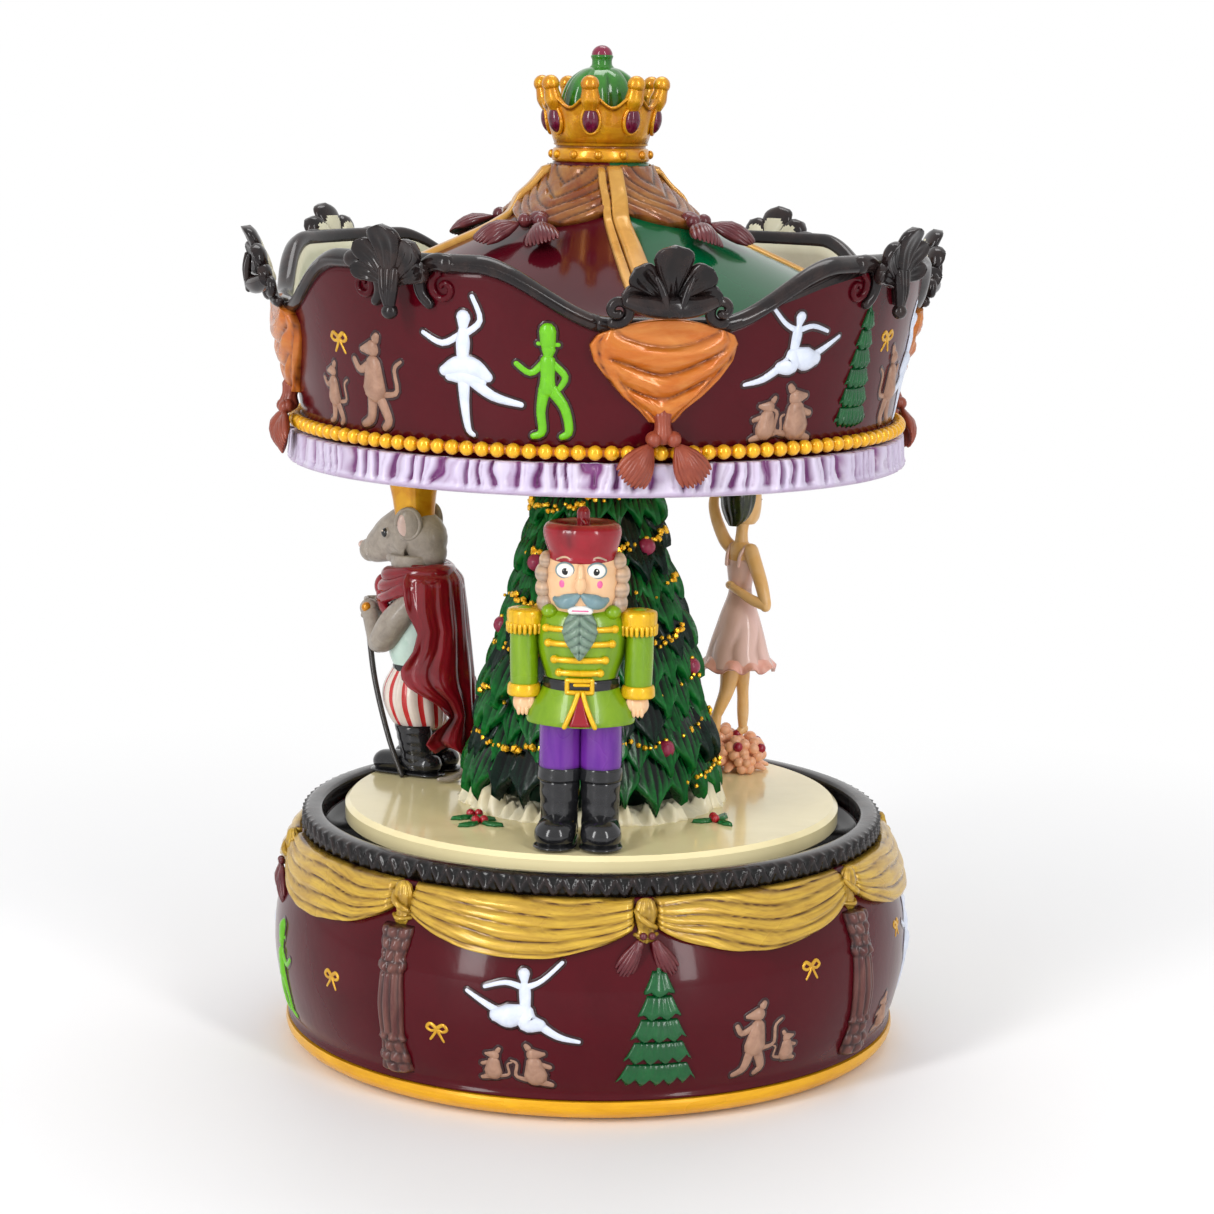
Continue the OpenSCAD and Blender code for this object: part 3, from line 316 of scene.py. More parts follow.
def limb(bm, joints, paint=0, around=12, steps=None, flat=(1, 1), flute=None, ends=3):
    """Rounded rod through joints of (x, y, z, radius); flute(u, v) scales its section."""
    line = smooth_line(joints, steps or 3 * (len(joints) - 1) + 2)
    rows = []
    for i, p in enumerate(line):
        a, b = line[max(i - 1, 0)], line[min(i + 1, len(line) - 1)]
        rows.append((Vector(p[:3]), p[3], (Vector(b[:3]) - Vector(a[:3])).normalized()))
    caps = [pi / 2 * k / ends for k in range(1, ends + 1)]
    c, r, t = rows[0]
    head = [(c - t * r * sin(a), r * cos(a), t) for a in reversed(caps)]
    c, r, t = rows[-1]
    tail = [(c + t * r * sin(a), r * cos(a), t) for a in caps]
    rows = head + rows + tail
    side = Vector((1, 0, 0)) if abs(rows[0][2].x) < 0.9 else Vector((0, 1, 0))
    frames = []
    for c, r, t in rows:
        side = (side - t * side.dot(t)).normalized()
        frames.append((c, r, side, t.cross(side)))

    def place(u, v):
        c, r, s, n = frames[round(v * (len(frames) - 1))]
        k = flute(u, v) if flute else 1
        a = TAU * u
        return c + (s * cos(a) * flat[0] + n * sin(a) * flat[1]) * r * k

    return sheet(bm, place, around, len(frames) - 1, paint)


def ball(bm, centre, size, paint=0, around=16, turn=(0, 0, 0)):
    """Squashed or stretched ball; size is one radius or three."""
    size = (size,) * 3 if isinstance(size, (int, float)) else size
    spin = Matrix.Rotation(radians(turn[2]), 4, "Z") @ Matrix.Rotation(radians(turn[1]), 4, "Y")
    spin = spin @ Matrix.Rotation(radians(turn[0]), 4, "X")
    spot = Matrix.Translation(centre) @ spin @ Matrix.Diagonal((*size, 1))
    verts = bmesh.ops.create_uvsphere(
        bm, u_segments=around, v_segments=max(6, around // 2 + 1), radius=1, matrix=spot
    )["verts"]
    for f in faces_of(verts):
        f.material_index = paint
        f.smooth = True
    return verts


def lathe(bm, profile, steps=96, paint=0, shape=None):
    """Turns a profile of (radius, height) round the axis; shape(turn, r, z) may give r, z and the painted shade and
    grime.
    """

    def place(u, v):
        r, z = profile[round(v * (len(profile) - 1))]
        r, z, wash = shape(360 * u, r, z) if shape else (r, z, 0)
        return (*polar(r, 360 * u, z), wash)

    return sheet(bm, place, steps, len(profile) - 1, paint)


def carry(verts, move):
    """Moves a shape's points by a matrix or a function."""
    for v in verts:
        v.co = move @ v.co if isinstance(move, Matrix) else move(v.co)
    return verts


def stand_at(turn, radius, z=0):
    """Matrix that stands a shape, which faces -Y, at a turn round the axis."""
    spot = Matrix.Rotation(radians(turn), 4, "Z")
    return spot @ Matrix.Translation((0, -radius, z))


def onto_wall(verts, turn, z, wall, flip=1):
    """Lays a shape of (across, up, out) on a round wall at a turn and height."""
    for v in verts:
        height = z + v.co.y
        r = wall(height)
        v.co = polar(r + v.co.z, turn + flip * degrees(v.co.x / r), height)


def make_piece(name, bm, paints, body, slot=None, replaces=(), weld=0.01):
    """Turns a mesh in mm into a finished piece that rides on a body."""
    bmesh.ops.remove_doubles(bm, verts=bm.verts, dist=weld)
    bmesh.ops.dissolve_degenerate(bm, edges=bm.edges, dist=weld / 10)
    bmesh.ops.holes_fill(bm, edges=[e for e in bm.edges if e.is_boundary], sides=0)
    bmesh.ops.recalc_face_normals(bm, faces=bm.faces)
    bmesh.ops.scale(bm, vec=(MM, MM, MM), verts=bm.verts)
    mesh = bpy.data.meshes.new(name)
    bm.to_mesh(mesh)
    bm.free()
    piece = bpy.data.objects.new(name, mesh)
    bpy.context.scene.collection.objects.link(piece)
    for look in paints:
        mesh.materials.append(paint(look))
    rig.ride(piece, body)
    if slot:
        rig.slot(piece, slot)
    if replaces:
        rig.replaces(piece, *replaces)


# ---------------------------------------------------------------- paints


def srgb(*rgb):
    """Linear colour of an sRGB colour of 0 to 255."""
    return tuple(
        c / 3294.6 if c <= 10 else ((c / 255 + 0.055) / 1.055) ** 2.4 for c in rgb
    ) + (1,)


def add_node(tree, kind, settings=(), inputs=()):
    node = tree.nodes.new("ShaderNode" + kind)
    for name, value in dict(settings).items():
        setattr(node, name, value)
    for name, value in dict(inputs).items():
        if isinstance(value, bpy.types.NodeSocket):
            tree.links.new(value, node.inputs[name])
        else:
            node.inputs[name].default_value = value
    return node


def mixed(tree, factor, a, b):
    node = tree.nodes.new("ShaderNodeMix")
    node.data_type = "RGBA"
    for name, value in (("Factor", factor), ("A", a), ("B", b)):
        socket = [s for s in node.inputs if s.name == name and s.enabled][0]
        if isinstance(value, bpy.types.NodeSocket):
            tree.links.new(value, socket)
        else:
            socket.default_value = value
    return [s for s in node.outputs if s.enabled][0]


def ramp(tree, source, low_at, high_at):
    node = add_node(tree, "MapRange", {"clamp": True}, {
        "Value": source, "From Min": low_at, "From Max": high_at, "To Min": 0, "To Max": 1
    })
    return node.outputs["Result"]


# What a paint has where its row ends early: roughness, coat, grain, streaks, bump, metal, stretch
# of its streaks along Z, shine, and the strength of its grime and painted shade
USUAL = (0.25, 0.7, 240, 0.55, 0.12, 0, 1, 0.3, 1)


def shades(base, fade=0.82):
    """A plain colour with its own streak, and a darker colour for grime and painted shade."""
    return base, tuple(c * fade for c in base), tuple(c * 0.4 for c in base)


# Base, streak, and the darker colour for grime and painted shade of each paint, and then its columns as in USUAL.
# A base that is a name is a colour that a user can pick.
PALETTE = {
    # drum, ring and movement
    "wine_lacquer": ("wine", (60, 4, 12), (22, 2, 6), 0.17, 0.45, 70, 0.5, 0.3, 0, 1, 0.1, 0.5),
    "wine_shadow": ((46, 8, 12), (34, 6, 10), (22, 5, 8), 0.25, 0.7, 90),
    "foot_gold": ("gilt", (206, 142, 8), (132, 78, 4), 0.32, 0.4, 90, 0.9, 0.2, 0.15, 5),
    "dark_bronze": ("iron", (74, 54, 48), (5, 4, 4), 0.22, 0.9, 220, 0.35, 0.2, 0.1, 1, 0.15),
    "well_shade": ((18, 13, 14), (34, 27, 28), (5, 4, 4), 0.14, 0.5, 90, 0.55, 0.04, 0, 1, 0.15),
    "plate_black": (*shades((34, 36, 36)), 0.55, 0.1, 700),
    "green_felt": ((34, 92, 58), (24, 70, 44), (12, 40, 24), 0.95, 0, 2500, 0.55, 0.5),
    "bright_steel": (*shades((186, 188, 192), 0.86), 0.26, 0, 900, 0.55, 0.06, 1, 1, 0.3, 0.5),
    "brass": (*shades((206, 170, 84), 0.86), 0.28, 0, 900, 0.55, 0.06, 1, 1, 0.3, 0.5),
    # cloths, pilasters and tassels
    "khaki_gold": ((178, 138, 48), (222, 184, 66), (74, 38, 6), 0.28, 0.6, 140, 0.9, 0.15, 0.2, 4),
    "orange_bronze": ((186, 98, 26), (210, 140, 66), (84, 28, 6), 0.26, 0.6, 120, 0.7, 0.15, 0.15, 3),
    "copper_cloth": ((122, 58, 20), (182, 132, 64), (40, 10, 6), 0.2, 0.9, 160, 0.7, 0.15, 0.15),
    "column_brown": ((82, 38, 36), (128, 86, 74), (32, 10, 12), 0.3, 0.7, 420, 0.7, 0.3, 0, 0.3),
    "tassel_brown": ((132, 58, 40), (166, 84, 58), (58, 20, 16), 0.35, 0.5, 300, 0.55, 0.2),
    "tassel_wine": ((86, 26, 34), (124, 60, 60), (36, 10, 14), 0.25, 0.7, 300, 0.55, 0.2),
    # reliefs
    "relief_white": ((216, 222, 236), (184, 196, 216), (104, 96, 120), 0.35, 0.4, 300),
    "relief_brown": ((168, 130, 108), (120, 86, 70), (70, 34, 30), 0.4, 0.4, 420, 0.8),
    "relief_green": ((10, 78, 38), (26, 106, 52), (2, 24, 14), 0.22, 0.6),
    "relief_lime": ((104, 184, 12), (78, 158, 14), (30, 80, 10), 0.3, 0.6, 300),
    "relief_gold": ((214, 164, 40), (170, 112, 20), (90, 44, 16), 0.3, 0.6, 400, 0.55, 0.12, 0.4),
    # roof
    "frill_lilac": ((208, 198, 218), (186, 170, 204), (122, 66, 120), 0.3, 0.5, 260, 0.6, 0.2, 0, 0.25),
    "bead_gold": ((238, 178, 26), (214, 138, 8), (140, 78, 4), 0.22, 0.8, 400, 0.55, 0.12, 0.35),
    "amber_glaze": (*shades((176, 96, 10)), 0.25, 0.7, 240, 0.55, 0.12, 0.2),
    "pale_lining": ((222, 218, 190), (206, 200, 168), (140, 128, 96), 0.4, 0.3, 120),
    "cream_enamel": ("cream", (226, 210, 158), (176, 148, 92), 0.16, 0.8, 40, 0.5, 0.04, 0, 1, 0.3, 0.5),
    "tent_wine": ((72, 8, 20), (88, 14, 30), (34, 4, 8), 0.14, 0.45, 50, 0.4, 0.03, 0, 1, 0.1, 0.5),
    "tent_green": ((0, 80, 44), (4, 100, 60), (0, 34, 20), 0.14, 0.45, 50, 0.4, 0.03, 0, 1, 0.1, 0.5),
    "rib_gold": ((206, 156, 74), (176, 120, 44), (116, 70, 22), 0.3, 0.6, 200, 0.9, 0.12, 0.25),
    # crown
    "crown_gold": ((190, 116, 10), (232, 176, 22), (88, 40, 8), 0.24, 0.8, 260, 0.9, 0.25, 0.4),
    "ruby_glass": ((74, 0, 28), (122, 18, 64), (30, 0, 12), 0.1, 1, 900, 0.9, 0.1, 0, 0.15),
    "cap_enamel": ((30, 104, 24), (70, 140, 40), (4, 34, 16), 0.14, 1, 200, 0.7, 0.06),
    "knob_wine": (*shades((124, 26, 58)), 0.14, 1),
    # platform and tree
    "snow_cream": ((240, 232, 204), (226, 212, 170), (190, 166, 112), 0.3, 0.6, 220, 0.6),
    "holly_leaf": shades((22, 104, 48)),
    "holly_berry": (*shades((176, 24, 40)), 0.14, 1),
    "fir_green": ("fir", (22, 128, 48), (1, 10, 6), 0.2, 0.4, 420, 0.8, 0.25, 0, 1, 0.15),
    # fir green in painted shade, for the tree's core and some of its leaves
    "fir_shaded": ((2, 26, 18), (12, 54, 34), (1, 5, 5), 0.26, 0.3, 420, 0.55, 0.25, 0, 1, 0.15),
    "glitter_gold": ((236, 168, 16), (255, 216, 70), (140, 76, 4), 0.2, 0.6, 1500, 0.9, 0.12, 0.7),
    "bauble_wine": ((126, 22, 56), (158, 48, 84), (60, 8, 26), 0.35, 0.5, 700, 0.8, 0.5),
    # figures
    "boot_black": ((22, 22, 24), (44, 44, 48), (6, 6, 8), 0.16, 0.9, 300),
    "violet_cloth": ((92, 20, 138), (128, 60, 160), (44, 6, 74), 0.26, 0.7, 220, 0.7, 0.12, 0, 0.3),
    "coat_lime": ("coat", (136, 170, 12), (30, 52, 4), 0.26, 0.7, 260, 0.7, 0.12, 0, 0.4),
    "hat_red": ((140, 10, 28), (170, 26, 44), (62, 2, 12), 0.2, 0.9, 180, 0.6),
    "braid_gold": ((228, 184, 24), (206, 148, 10), (120, 70, 6), 0.28, 0.6, 500, 0.8, 0.12, 0.2),
    "face_peach": ((232, 190, 148), (222, 170, 120), (184, 116, 66), 0.3, 0.6, 160, 0.5, 0.12, 0, 1, 0.3,
                   0.7),
    "curl_grey": ((206, 172, 140), (132, 130, 130), (104, 92, 84), 0.3, 0.6, 240, 0.8),
    "enamel_white": (*shades((240, 238, 232)), 0.2),
    "cheek_pink": (*shades((238, 104, 160)), 0.35, 0.4),
    "moustache_grey": ((104, 134, 142), (134, 160, 164), (50, 70, 80), 0.28, 0.6, 500, 0.7),
    "beard_green": ((104, 128, 112), (134, 152, 134), (54, 76, 66), 0.3, 0.6, 500, 0.7),
    "pupil_black": (*shades((14, 14, 16)), 0.1, 1),
    "mouse_fur": ((158, 148, 136), (120, 110, 102), (74, 66, 62), 0.35, 0.5, 520, 0.8, 0.4),
    "cloak_red": ("cloak", (170, 30, 46), (66, 6, 14), 0.16, 1, 90, 0.5, 0.05),
    "mint_cloth": ((198, 218, 208), (160, 196, 180), (110, 150, 136), 0.3, 0.6, 260),
    "breeches_cream": ((226, 214, 204), (208, 190, 178), (150, 124, 112), 0.3, 0.6, 260),
    "stripe_red": shades((196, 44, 44)),
    "cap_gold": ((192, 122, 12), (232, 178, 40), (96, 48, 4), 0.24, 0.7, 240, 0.8, 0.12, 0.4),
    "ear_pink": (*shades((206, 178, 168)), 0.35),
    "stick_dark": shades((52, 48, 46)),
    "dancer_skin": ((222, 172, 104), (232, 196, 150), (170, 112, 50), 0.28, 0.7, 180, 0.7),
    "dress_pink": ("dress", (206, 168, 150), (150, 110, 88), 0.25, 0.8, 200, 0.7, 0.12, 0, 0.3),
    "dark_hair": ((26, 32, 18), (66, 74, 24), (8, 10, 8), 0.2, 0.9, 420, 0.7),
    "flower_lime": shades((196, 204, 24)),
    "blossom_peach": ((236, 180, 146), (226, 150, 96), (188, 110, 66), 0.28, 0.7, 200, 0.7),
    "blossom_heart": shades((150, 16, 46)),
    "hem_rose": ((222, 158, 142), (232, 190, 176), (168, 98, 84), 0.28, 0.7, 240, 0.7),
}
PAINTS = {}


def paint(name):
    """Brushed resin paint: a base colour streaked with a second one, and darkened towards a third by random grime and
    by painted shade in its grooves.
    """
    if name in PAINTS:
        return PAINTS[name]
    base, streak, grime, *look = PALETTE[name]
    rough, coat, grain, streaks, bump, metal, stretch, shine, wash = (*look, *USUAL[len(look):])
    if isinstance(base, str):
        base = tuple(255 * c for c in getattr(bpy.context.scene.carousel_colours, base))
    material = bpy.data.materials.new(name)
    material.use_nodes = True
    tree = material.node_tree
    shader = tree.nodes["Principled BSDF"]
    coords = add_node(tree, "TexCoord").outputs["Object"]
    spot = add_node(tree, "Mapping", inputs={"Vector": coords, "Scale": (1, 1, stretch)}).outputs["Vector"]
    brush = add_node(tree, "TexNoise", inputs={
        "Vector": spot, "Scale": grain, "Detail": 4, "Roughness": 0.6, "Distortion": 0.6
    }).outputs["Fac"]
    cloud = add_node(tree, "TexNoise", inputs={
        "Vector": coords, "Scale": grain * 0.3, "Detail": 2
    }).outputs["Fac"]
    strokes = ramp(tree, brush, 0.5 - 0.2 * streaks, 0.5 + 0.4 / (0.2 + streaks))
    colour = mixed(tree, strokes, srgb(*base), srgb(*streak))
    groove = add_node(tree, "Attribute", {"attribute_name": "wash"}).outputs["Fac"]
    # Random grime from the cloud, plus the painted shade laid in each piece's grooves and recesses
    dirt = add_node(tree, "Math", {"operation": "MULTIPLY_ADD"}, {0: cloud, 1: 0.5, 2: groove}).outputs[0]
    dirt = ramp(tree, dirt, 0.42, 1.15)
    dirt = add_node(tree, "Math", {"operation": "MULTIPLY"}, {0: dirt, 1: wash}).outputs[0]
    colour = mixed(tree, dirt, colour, srgb(*grime))
    tree.links.new(colour, shader.inputs["Base Color"])
    spread = {"To Min": rough * 0.75, "To Max": min(1, rough * 1.3)}
    gloss = add_node(tree, "MapRange", inputs={"Value": cloud, "From Min": 0.3, "From Max": 0.7, **spread})
    gloss = gloss.outputs["Result"]
    tree.links.new(gloss, shader.inputs["Roughness"])
    shader.inputs["Metallic"].default_value = metal
    shader.inputs["Specular IOR Level"].default_value = shine
    shader.inputs["Coat Weight"].default_value = 0.4 * coat
    shader.inputs["Coat Roughness"].default_value = 0.06
    relief = add_node(tree, "Bump", inputs={"Height": brush, "Strength": bump, "Distance": 0.0004})
    tree.links.new(relief.outputs["Normal"], shader.inputs["Normal"])
    PAINTS[name] = material
    return material


def sizes():
    return bpy.context.scene.carousel_sizes


def dress(name, *nodes):
    """Paints CAD pieces that keep their own shape."""
    for node in nodes:
        mesh = frame["nodes"][node].data
        mesh.materials.clear()
        mesh.materials.append(paint(name))


# ---------------------------------------------------------------- reliefs

RELIEF_PAINTS = ["relief_white", "relief_brown", "relief_green", "relief_lime", "relief_gold", "wine_shadow"]
WHITE, BROWN, GREEN, LIME, GOLD, SHADOW = range(6)

# Each motif is a list of tapered strokes through (across, up, half width), in mm
LEAPING_DANCER = (
    ((0, 4.4, 0.8), (-0.2, 6.4, 1.5)),
    ((0, 4, 1), (0.2, 2.4, 1.5), (0.4, -1.6, 1.3)),
    ((0.6, 3.4, 0.8), (4.2, 5.2, 0.6), (8.6, 9.4, 0.5)),
    ((-0.6, 3.4, 0.8), (-4.6, 4.2, 0.65), (-9.6, 2.8, 0.5)),
    ((0.2, -2.2, 1.8), (-3.4, -3.6, 3), (-6.4, -3.6, 1.9)),
    ((0.6, -2.6, 2), (1, -4.8, 2.6), (3.8, -5.4, 1.6)),
    ((3, -4.8, 1.2), (8, -8, 0.9), (13, -9.2, 0.5)),
    ((-6, -2.8, 1), (-10, -0.8, 0.75), (-14, 1.4, 0.5)),
)
POISED_DANCER = (
    ((0, 9.4, 0.9), (0.3, 11.4, 1.5)),
    ((0, 9, 1), (-0.2, 6.8, 1.5), (-0.6, 3.4, 1.2)),
    ((0.5, 8.4, 0.7), (3.6, 11, 0.6), (2.4, 15.4, 0.5)),
    ((-0.6, 8.2, 0.7), (-4.6, 6.4, 0.65), (-8.6, 8.2, 0.5)),
    ((-4.6, 1.2, 1.1), (-1.6, 2.2, 2), (1.6, 2, 2), (4.2, 0.4, 1.1)),
    ((-3.6, 0.2, 1), (-0.4, 0.4, 1.8), (3, -0.6, 1)),
    ((-0.6, 0, 1.4), (-0.8, -5, 1), (-0.4, -9.6, 0.7), (0.6, -10.8, 0.5)),
    ((0.6, 0, 1.3), (5, -3.2, 1), (10.4, -4.6, 0.6)),
)
MARCHING_SOLDIER = (
    ((0, 6.2, 0.8), (0.2, 8, 1.5)),
    ((0.1, 9.2, 1.6), (0.1, 11.6, 1.8)),
    ((-1.9, 9.2, 0.45), (2.2, 9, 0.45)),
    ((0, 5.4, 1.7), (-0.1, 2.6, 1.5), (-0.2, 0.2, 1.8)),
    ((-1, 5.2, 0.8), (-3.6, 3.2, 0.7), (-6.4, 5, 0.6)),
    ((1, 5.2, 0.8), (3.4, 2.6, 0.75), (2.2, 0.2, 0.6)),
    ((-0.8, 0, 1.3), (-1.6, -4.4, 1), (-1.4, -8.6, 0.9), (-3.2, -9.6, 0.7)),
    ((0.6, 0, 1.3), (3.2, -3.8, 1.05), (4, -8.4, 0.9), (2.6, -9.6, 0.7)),
)
SITTING_MOUSE = (
    ((0, -1.4, 2.1), (0.2, 0.6, 1.5)),
    ((0.4, 2.4, 1.15), (-1.4, 2.6, 0.4)),
    ((1.2, 3.5, 0.6), (1.5, 3.9, 0.5)),
    ((-0.8, 0.6, 0.6), (-2.4, 0.2, 0.45)),
    ((-0.6, -2.6, 0.8), (-2.6, -3.2, 0.5)),
    ((1.6, -2.4, 0.5), (3.4, -1.8, 0.35), (3.2, 0.4, 0.3), (4.2, 1, 0.22)),
)
STANDING_MOUSE = (
    ((0, -1, 2.2), (0.3, 2.4, 1.5)),
    ((0.4, 4.8, 1.3), (-1.8, 4.6, 0.45)),
    ((1.3, 6.2, 0.75), (1.6, 6.6, 0.6)),
    ((-0.8, 2.4, 0.7), (-2.8, 1.6, 0.6), (-3.8, 3, 0.5)),
    ((-0.8, -2.6, 1), (-1.6, -5.4, 0.8), (-3.4, -6.4, 0.55)),
    ((0.9, -2.6, 1), (2, -5.4, 0.8), (1, -6.6, 0.55)),
    ((1.8, -1.8, 0.5), (4.2, -1.2, 0.4), (4.2, 2, 0.35), (5.6, 3.2, 0.25)),
)
BOW = (
    ((0, 0, 0.5), (-1.6, 1, 0.45), (-2.6, 0, 0.4), (-1.4, -0.7, 0.35), (0, 0, 0.3)),
    ((0, 0, 0.5), (1.6, 1, 0.45), (2.6, 0, 0.4), (1.4, -0.7, 0.35), (0, 0, 0.3)),
    ((0, 0, 0.45), (-0.7, -1.4, 0.35), (-1.8, -2.8, 0.3)),
    ((0, 0, 0.45), (0.7, -1.4, 0.35), (1.6, -3, 0.3)),
)


# What is carved round one half of the drum and of the valance: motif, turn, height, colour, flip, scale
DRUM_MOTIFS = (
    (LEAPING_DANCER, -20.5, 26.4, WHITE, 1, 0.86),
    (SITTING_MOUSE, -26, 12.2, BROWN, 1, 0.95),
    (SITTING_MOUSE, -18.6, 12.4, BROWN, -1, 1.2),
    (BOW, -36, 18.6, GOLD, 1, 0.9),
    (STANDING_MOUSE, 19.5, 16.5, BROWN, 1, 1.15),
    (SITTING_MOUSE, 26.5, 13.6, BROWN, -1, 0.9),
    (BOW, 31.5, 29.8, GOLD, 1, 0.9),
    (POISED_DANCER, 75, 21, WHITE, 1, 0.95),
    (MARCHING_SOLDIER, 99, 17.6, LIME, -1, 0.92),
    (BOW, 120, 24, GOLD, 1, 0.9),
    (SITTING_MOUSE, 56, 12.6, BROWN, 1, 1),
    (BOW, 63, 30, GOLD, 1, 0.8),
)
VALANCE_MOTIFS = (
    (MARCHING_SOLDIER, -19.5, 149, LIME, 1, 0.98),
    (POISED_DANCER, -34, 150.6, WHITE, 1, 1.05),
    (STANDING_MOUSE, -54, 148.4, BROWN, 1, 1.4),
    (STANDING_MOUSE, -66.5, 145, BROWN, 1, 0.95),
    (BOW, -62.5, 156.6, GOLD, 1, 1),
    (LEAPING_DANCER, 24.4, 157.6, WHITE, -1, 0.84),
    (SITTING_MOUSE, 20, 142.4, BROWN, 1, 1.15),
    (SITTING_MOUSE, 26.6, 143.2, BROWN, -1, 1.5),
    (BOW, 51, 157.6, GOLD, 1, 1),
    (STANDING_MOUSE, 57, 147, BROWN, -1, 1.2),
    (POISED_DANCER, 69, 149, WHITE, -1, 0.95),
)


def carve(bm, strokes, turn, z, wall, colour, flip, scale):
    """Lays a motif of strokes on a wall, with a painted shadow round all but the bows: a wider, flatter dark copy of
    its strokes.
    """
    passes = [(colour, 0, 0.62)]
    if strokes is not BOW:
        passes.append((SHADOW, 0.55, 0.12))
    for paint_index, grow, height in passes:
        for stroke in strokes:
            joints = [(x * scale, y * scale, 0, r * scale + grow) for x, y, r in stroke]
            verts = limb(bm, joints, paint_index)
            for v in verts:
                v.co.z *= height
            onto_wall(verts, turn, z, wall, flip)


def carve_ring(bm, motifs, turn, wall):
    """Carves a table of motifs on a wall, counted from a turn."""
    for strokes, across, z, colour, flip, scale in motifs:
        carve(bm, strokes, turn + across, z, wall, colour, flip, scale)


def carve_fir(bm, width, height, turn, z, wall, colour, tiers=5):
    """Fir tree in relief: overlapping tiers with pointed hems."""
    for k in range(tiers):
        head = height * (1 - 0.95 * k / tiers)
        hem = height * (1 - 0.97 * (k + 1.25) / (tiers + 0.25))
        half_top = 0.08 * width + 0.34 * width * (k / tiers)
        half_hem = 0.5 * width * (0.3 + 0.7 * (k + 1) / tiers)
        points = 2 + k

        def place(u, v):
            side = 2 * u - 1
            tooth = abs(((u * points + 0.12 * jitter(9 * u, k)) % 1) * 2 - 1)
            out = (0.5 + 0.7 * v) * sqrt(max(0, 1 - 0.8 * side * side)) + 0.15 * hills(u * points * 2)
            if at_edge(u, v):
                out = -0.3
            x = side * mix(half_top, half_hem * (1 + 0.1 * jitter(k, side)), v ** 1.3)
            y = mix(head, max(hem, 0), v) + 0.8 * v * side * side
            y -= v * v * (2 * tooth - 1.4) * (0.6 + 0.12 * k)
            # The fourth value is painted shade at the head of each tier, under the hem of the tier above
            return (x, max(y, -0.2), out, 0.5 * (1 - v) ** 2)

        onto_wall(sheet(bm, place, 6 * points, 6, colour), turn, z, wall)
    star = [(0, height - 1.2, 0, 0.7), (0, height + 0.6, 0, 0.35)]
    onto_wall(limb(bm, star, colour, 8), turn, z, wall)


# ---------------------------------------------------------------- base


class CAROUSEL_OT_drum(bpy.types.Operator):
    """Lacquer the drum, gild its foot and paint everything under it"""

    bl_idname = "carousel.drum"
    bl_label = "Drum and foot"

    def execute(self, context):
        deck, under = DRUM_TOP - 2.6, DRUM_TOP - 5.6
        profile = [(WELL_R - 1, 5), (66.4, 5)] + [(r, z) for z, r in DRUM_CURVE if z > 5]
        profile += [(WELL_R, DRUM_TOP), (WELL_R, deck), (SPINDLE_R, deck), (SPINDLE_R, under),
                    (WELL_R - 1, under), (WELL_R - 1, 5)]
        bm = blank()
        lathe(bm, profile, 256)
        for turn in (0, 90, 180, 270):
            boss = [(0.1, 13.1), (4, 13.1), (4, under + 0.1), (0.1, under + 0.1)]
            carry(lathe(bm, boss, 24), Matrix.Translation(polar(WELL_R - 8, turn, 0)))
        make_piece("lacquered_drum", bm, ["wine_lacquer"], "base", "wine_lacquer", ["base_shell"])
        dress("foot_gold", "foot_band")
        dress("plate_black", "closing_plate")
        dress("green_felt", "felt_ring")
        dress("bright_steel", "plate_screws", "winding_key", "winding_arbor", "bedplate_screws",
              "hub_screws", "roof_nut", "spindle")
        return {"FINISHED"}


class CAROUSEL_OT_rim_ring(bpy.types.Operator):
    """Model the dark ring round the well, with its row of chevrons"""

    bl_idname = "carousel.rim_ring"
    bl_label = "Rim ring"

    def execute(self, context):
        bm = blank()
        count = sizes().chevron_count
        foot = DRUM_TOP
        rows = [(WELL_R, foot, None), (WELL_R, RIM_TOP - 0.7, None), (WELL_R + 0.25, RIM_TOP - 0.2, None),
                (WELL_R + 0.8, RIM_TOP, None), (RIM_R - 1.7, RIM_TOP, None),
                (RIM_R - 1.1, RIM_TOP - 0.2, None)]
        rows += [(RIM_R - 0.55, mix(RIM_TOP - 0.6, foot + 0.5, t / 6), t / 6) for t in range(7)]
        rows += [(RIM_R - 0.7, foot, None), (WELL_R, foot, None)]

        def place(u, v):
            r, z, t = rows[round(v * (len(rows) - 1))]
            wash = 0
            if t is not None:
                tri = abs(((u * count) % 1) * 2 - 1)
                ridge = max(0, 1 - abs(tri - t) / 0.42)
                r += 0.62 * ridge - 0.12 * (tri >= t) + 0.06 * jitter(u * 90, t)
                # Painted shade in the grooves between the chevrons
                wash = 0.95 * (1 - ridge)
            p = polar(r, 360 * u, z)
            return (p.x, p.y, p.z, wash)

        sheet(bm, place, count * 8, len(rows) - 1)
        make_piece("chevron_rim", bm, ["dark_bronze"], "base", "dark_bronze", ["rim_ring"])
        # Painted shade: a near-black sleeve and floor over the well's lacquer, where the gap round the platform lies
        # in shade
        bm = blank()
        deck, inner = DRUM_TOP - 2.5, WELL_R - 0.1
        lathe(bm, [(7, deck), (inner, deck), (inner, DRUM_TOP), (WELL_R - 0.5, DRUM_TOP),
                   (WELL_R - 0.5, DRUM_TOP - 2.1), (7, DRUM_TOP - 2.1), (7, deck)], 128)
        make_piece("well_shade_sheet", bm, ["well_shade"], "base", "dark_bronze")
        return {"FINISHED"}


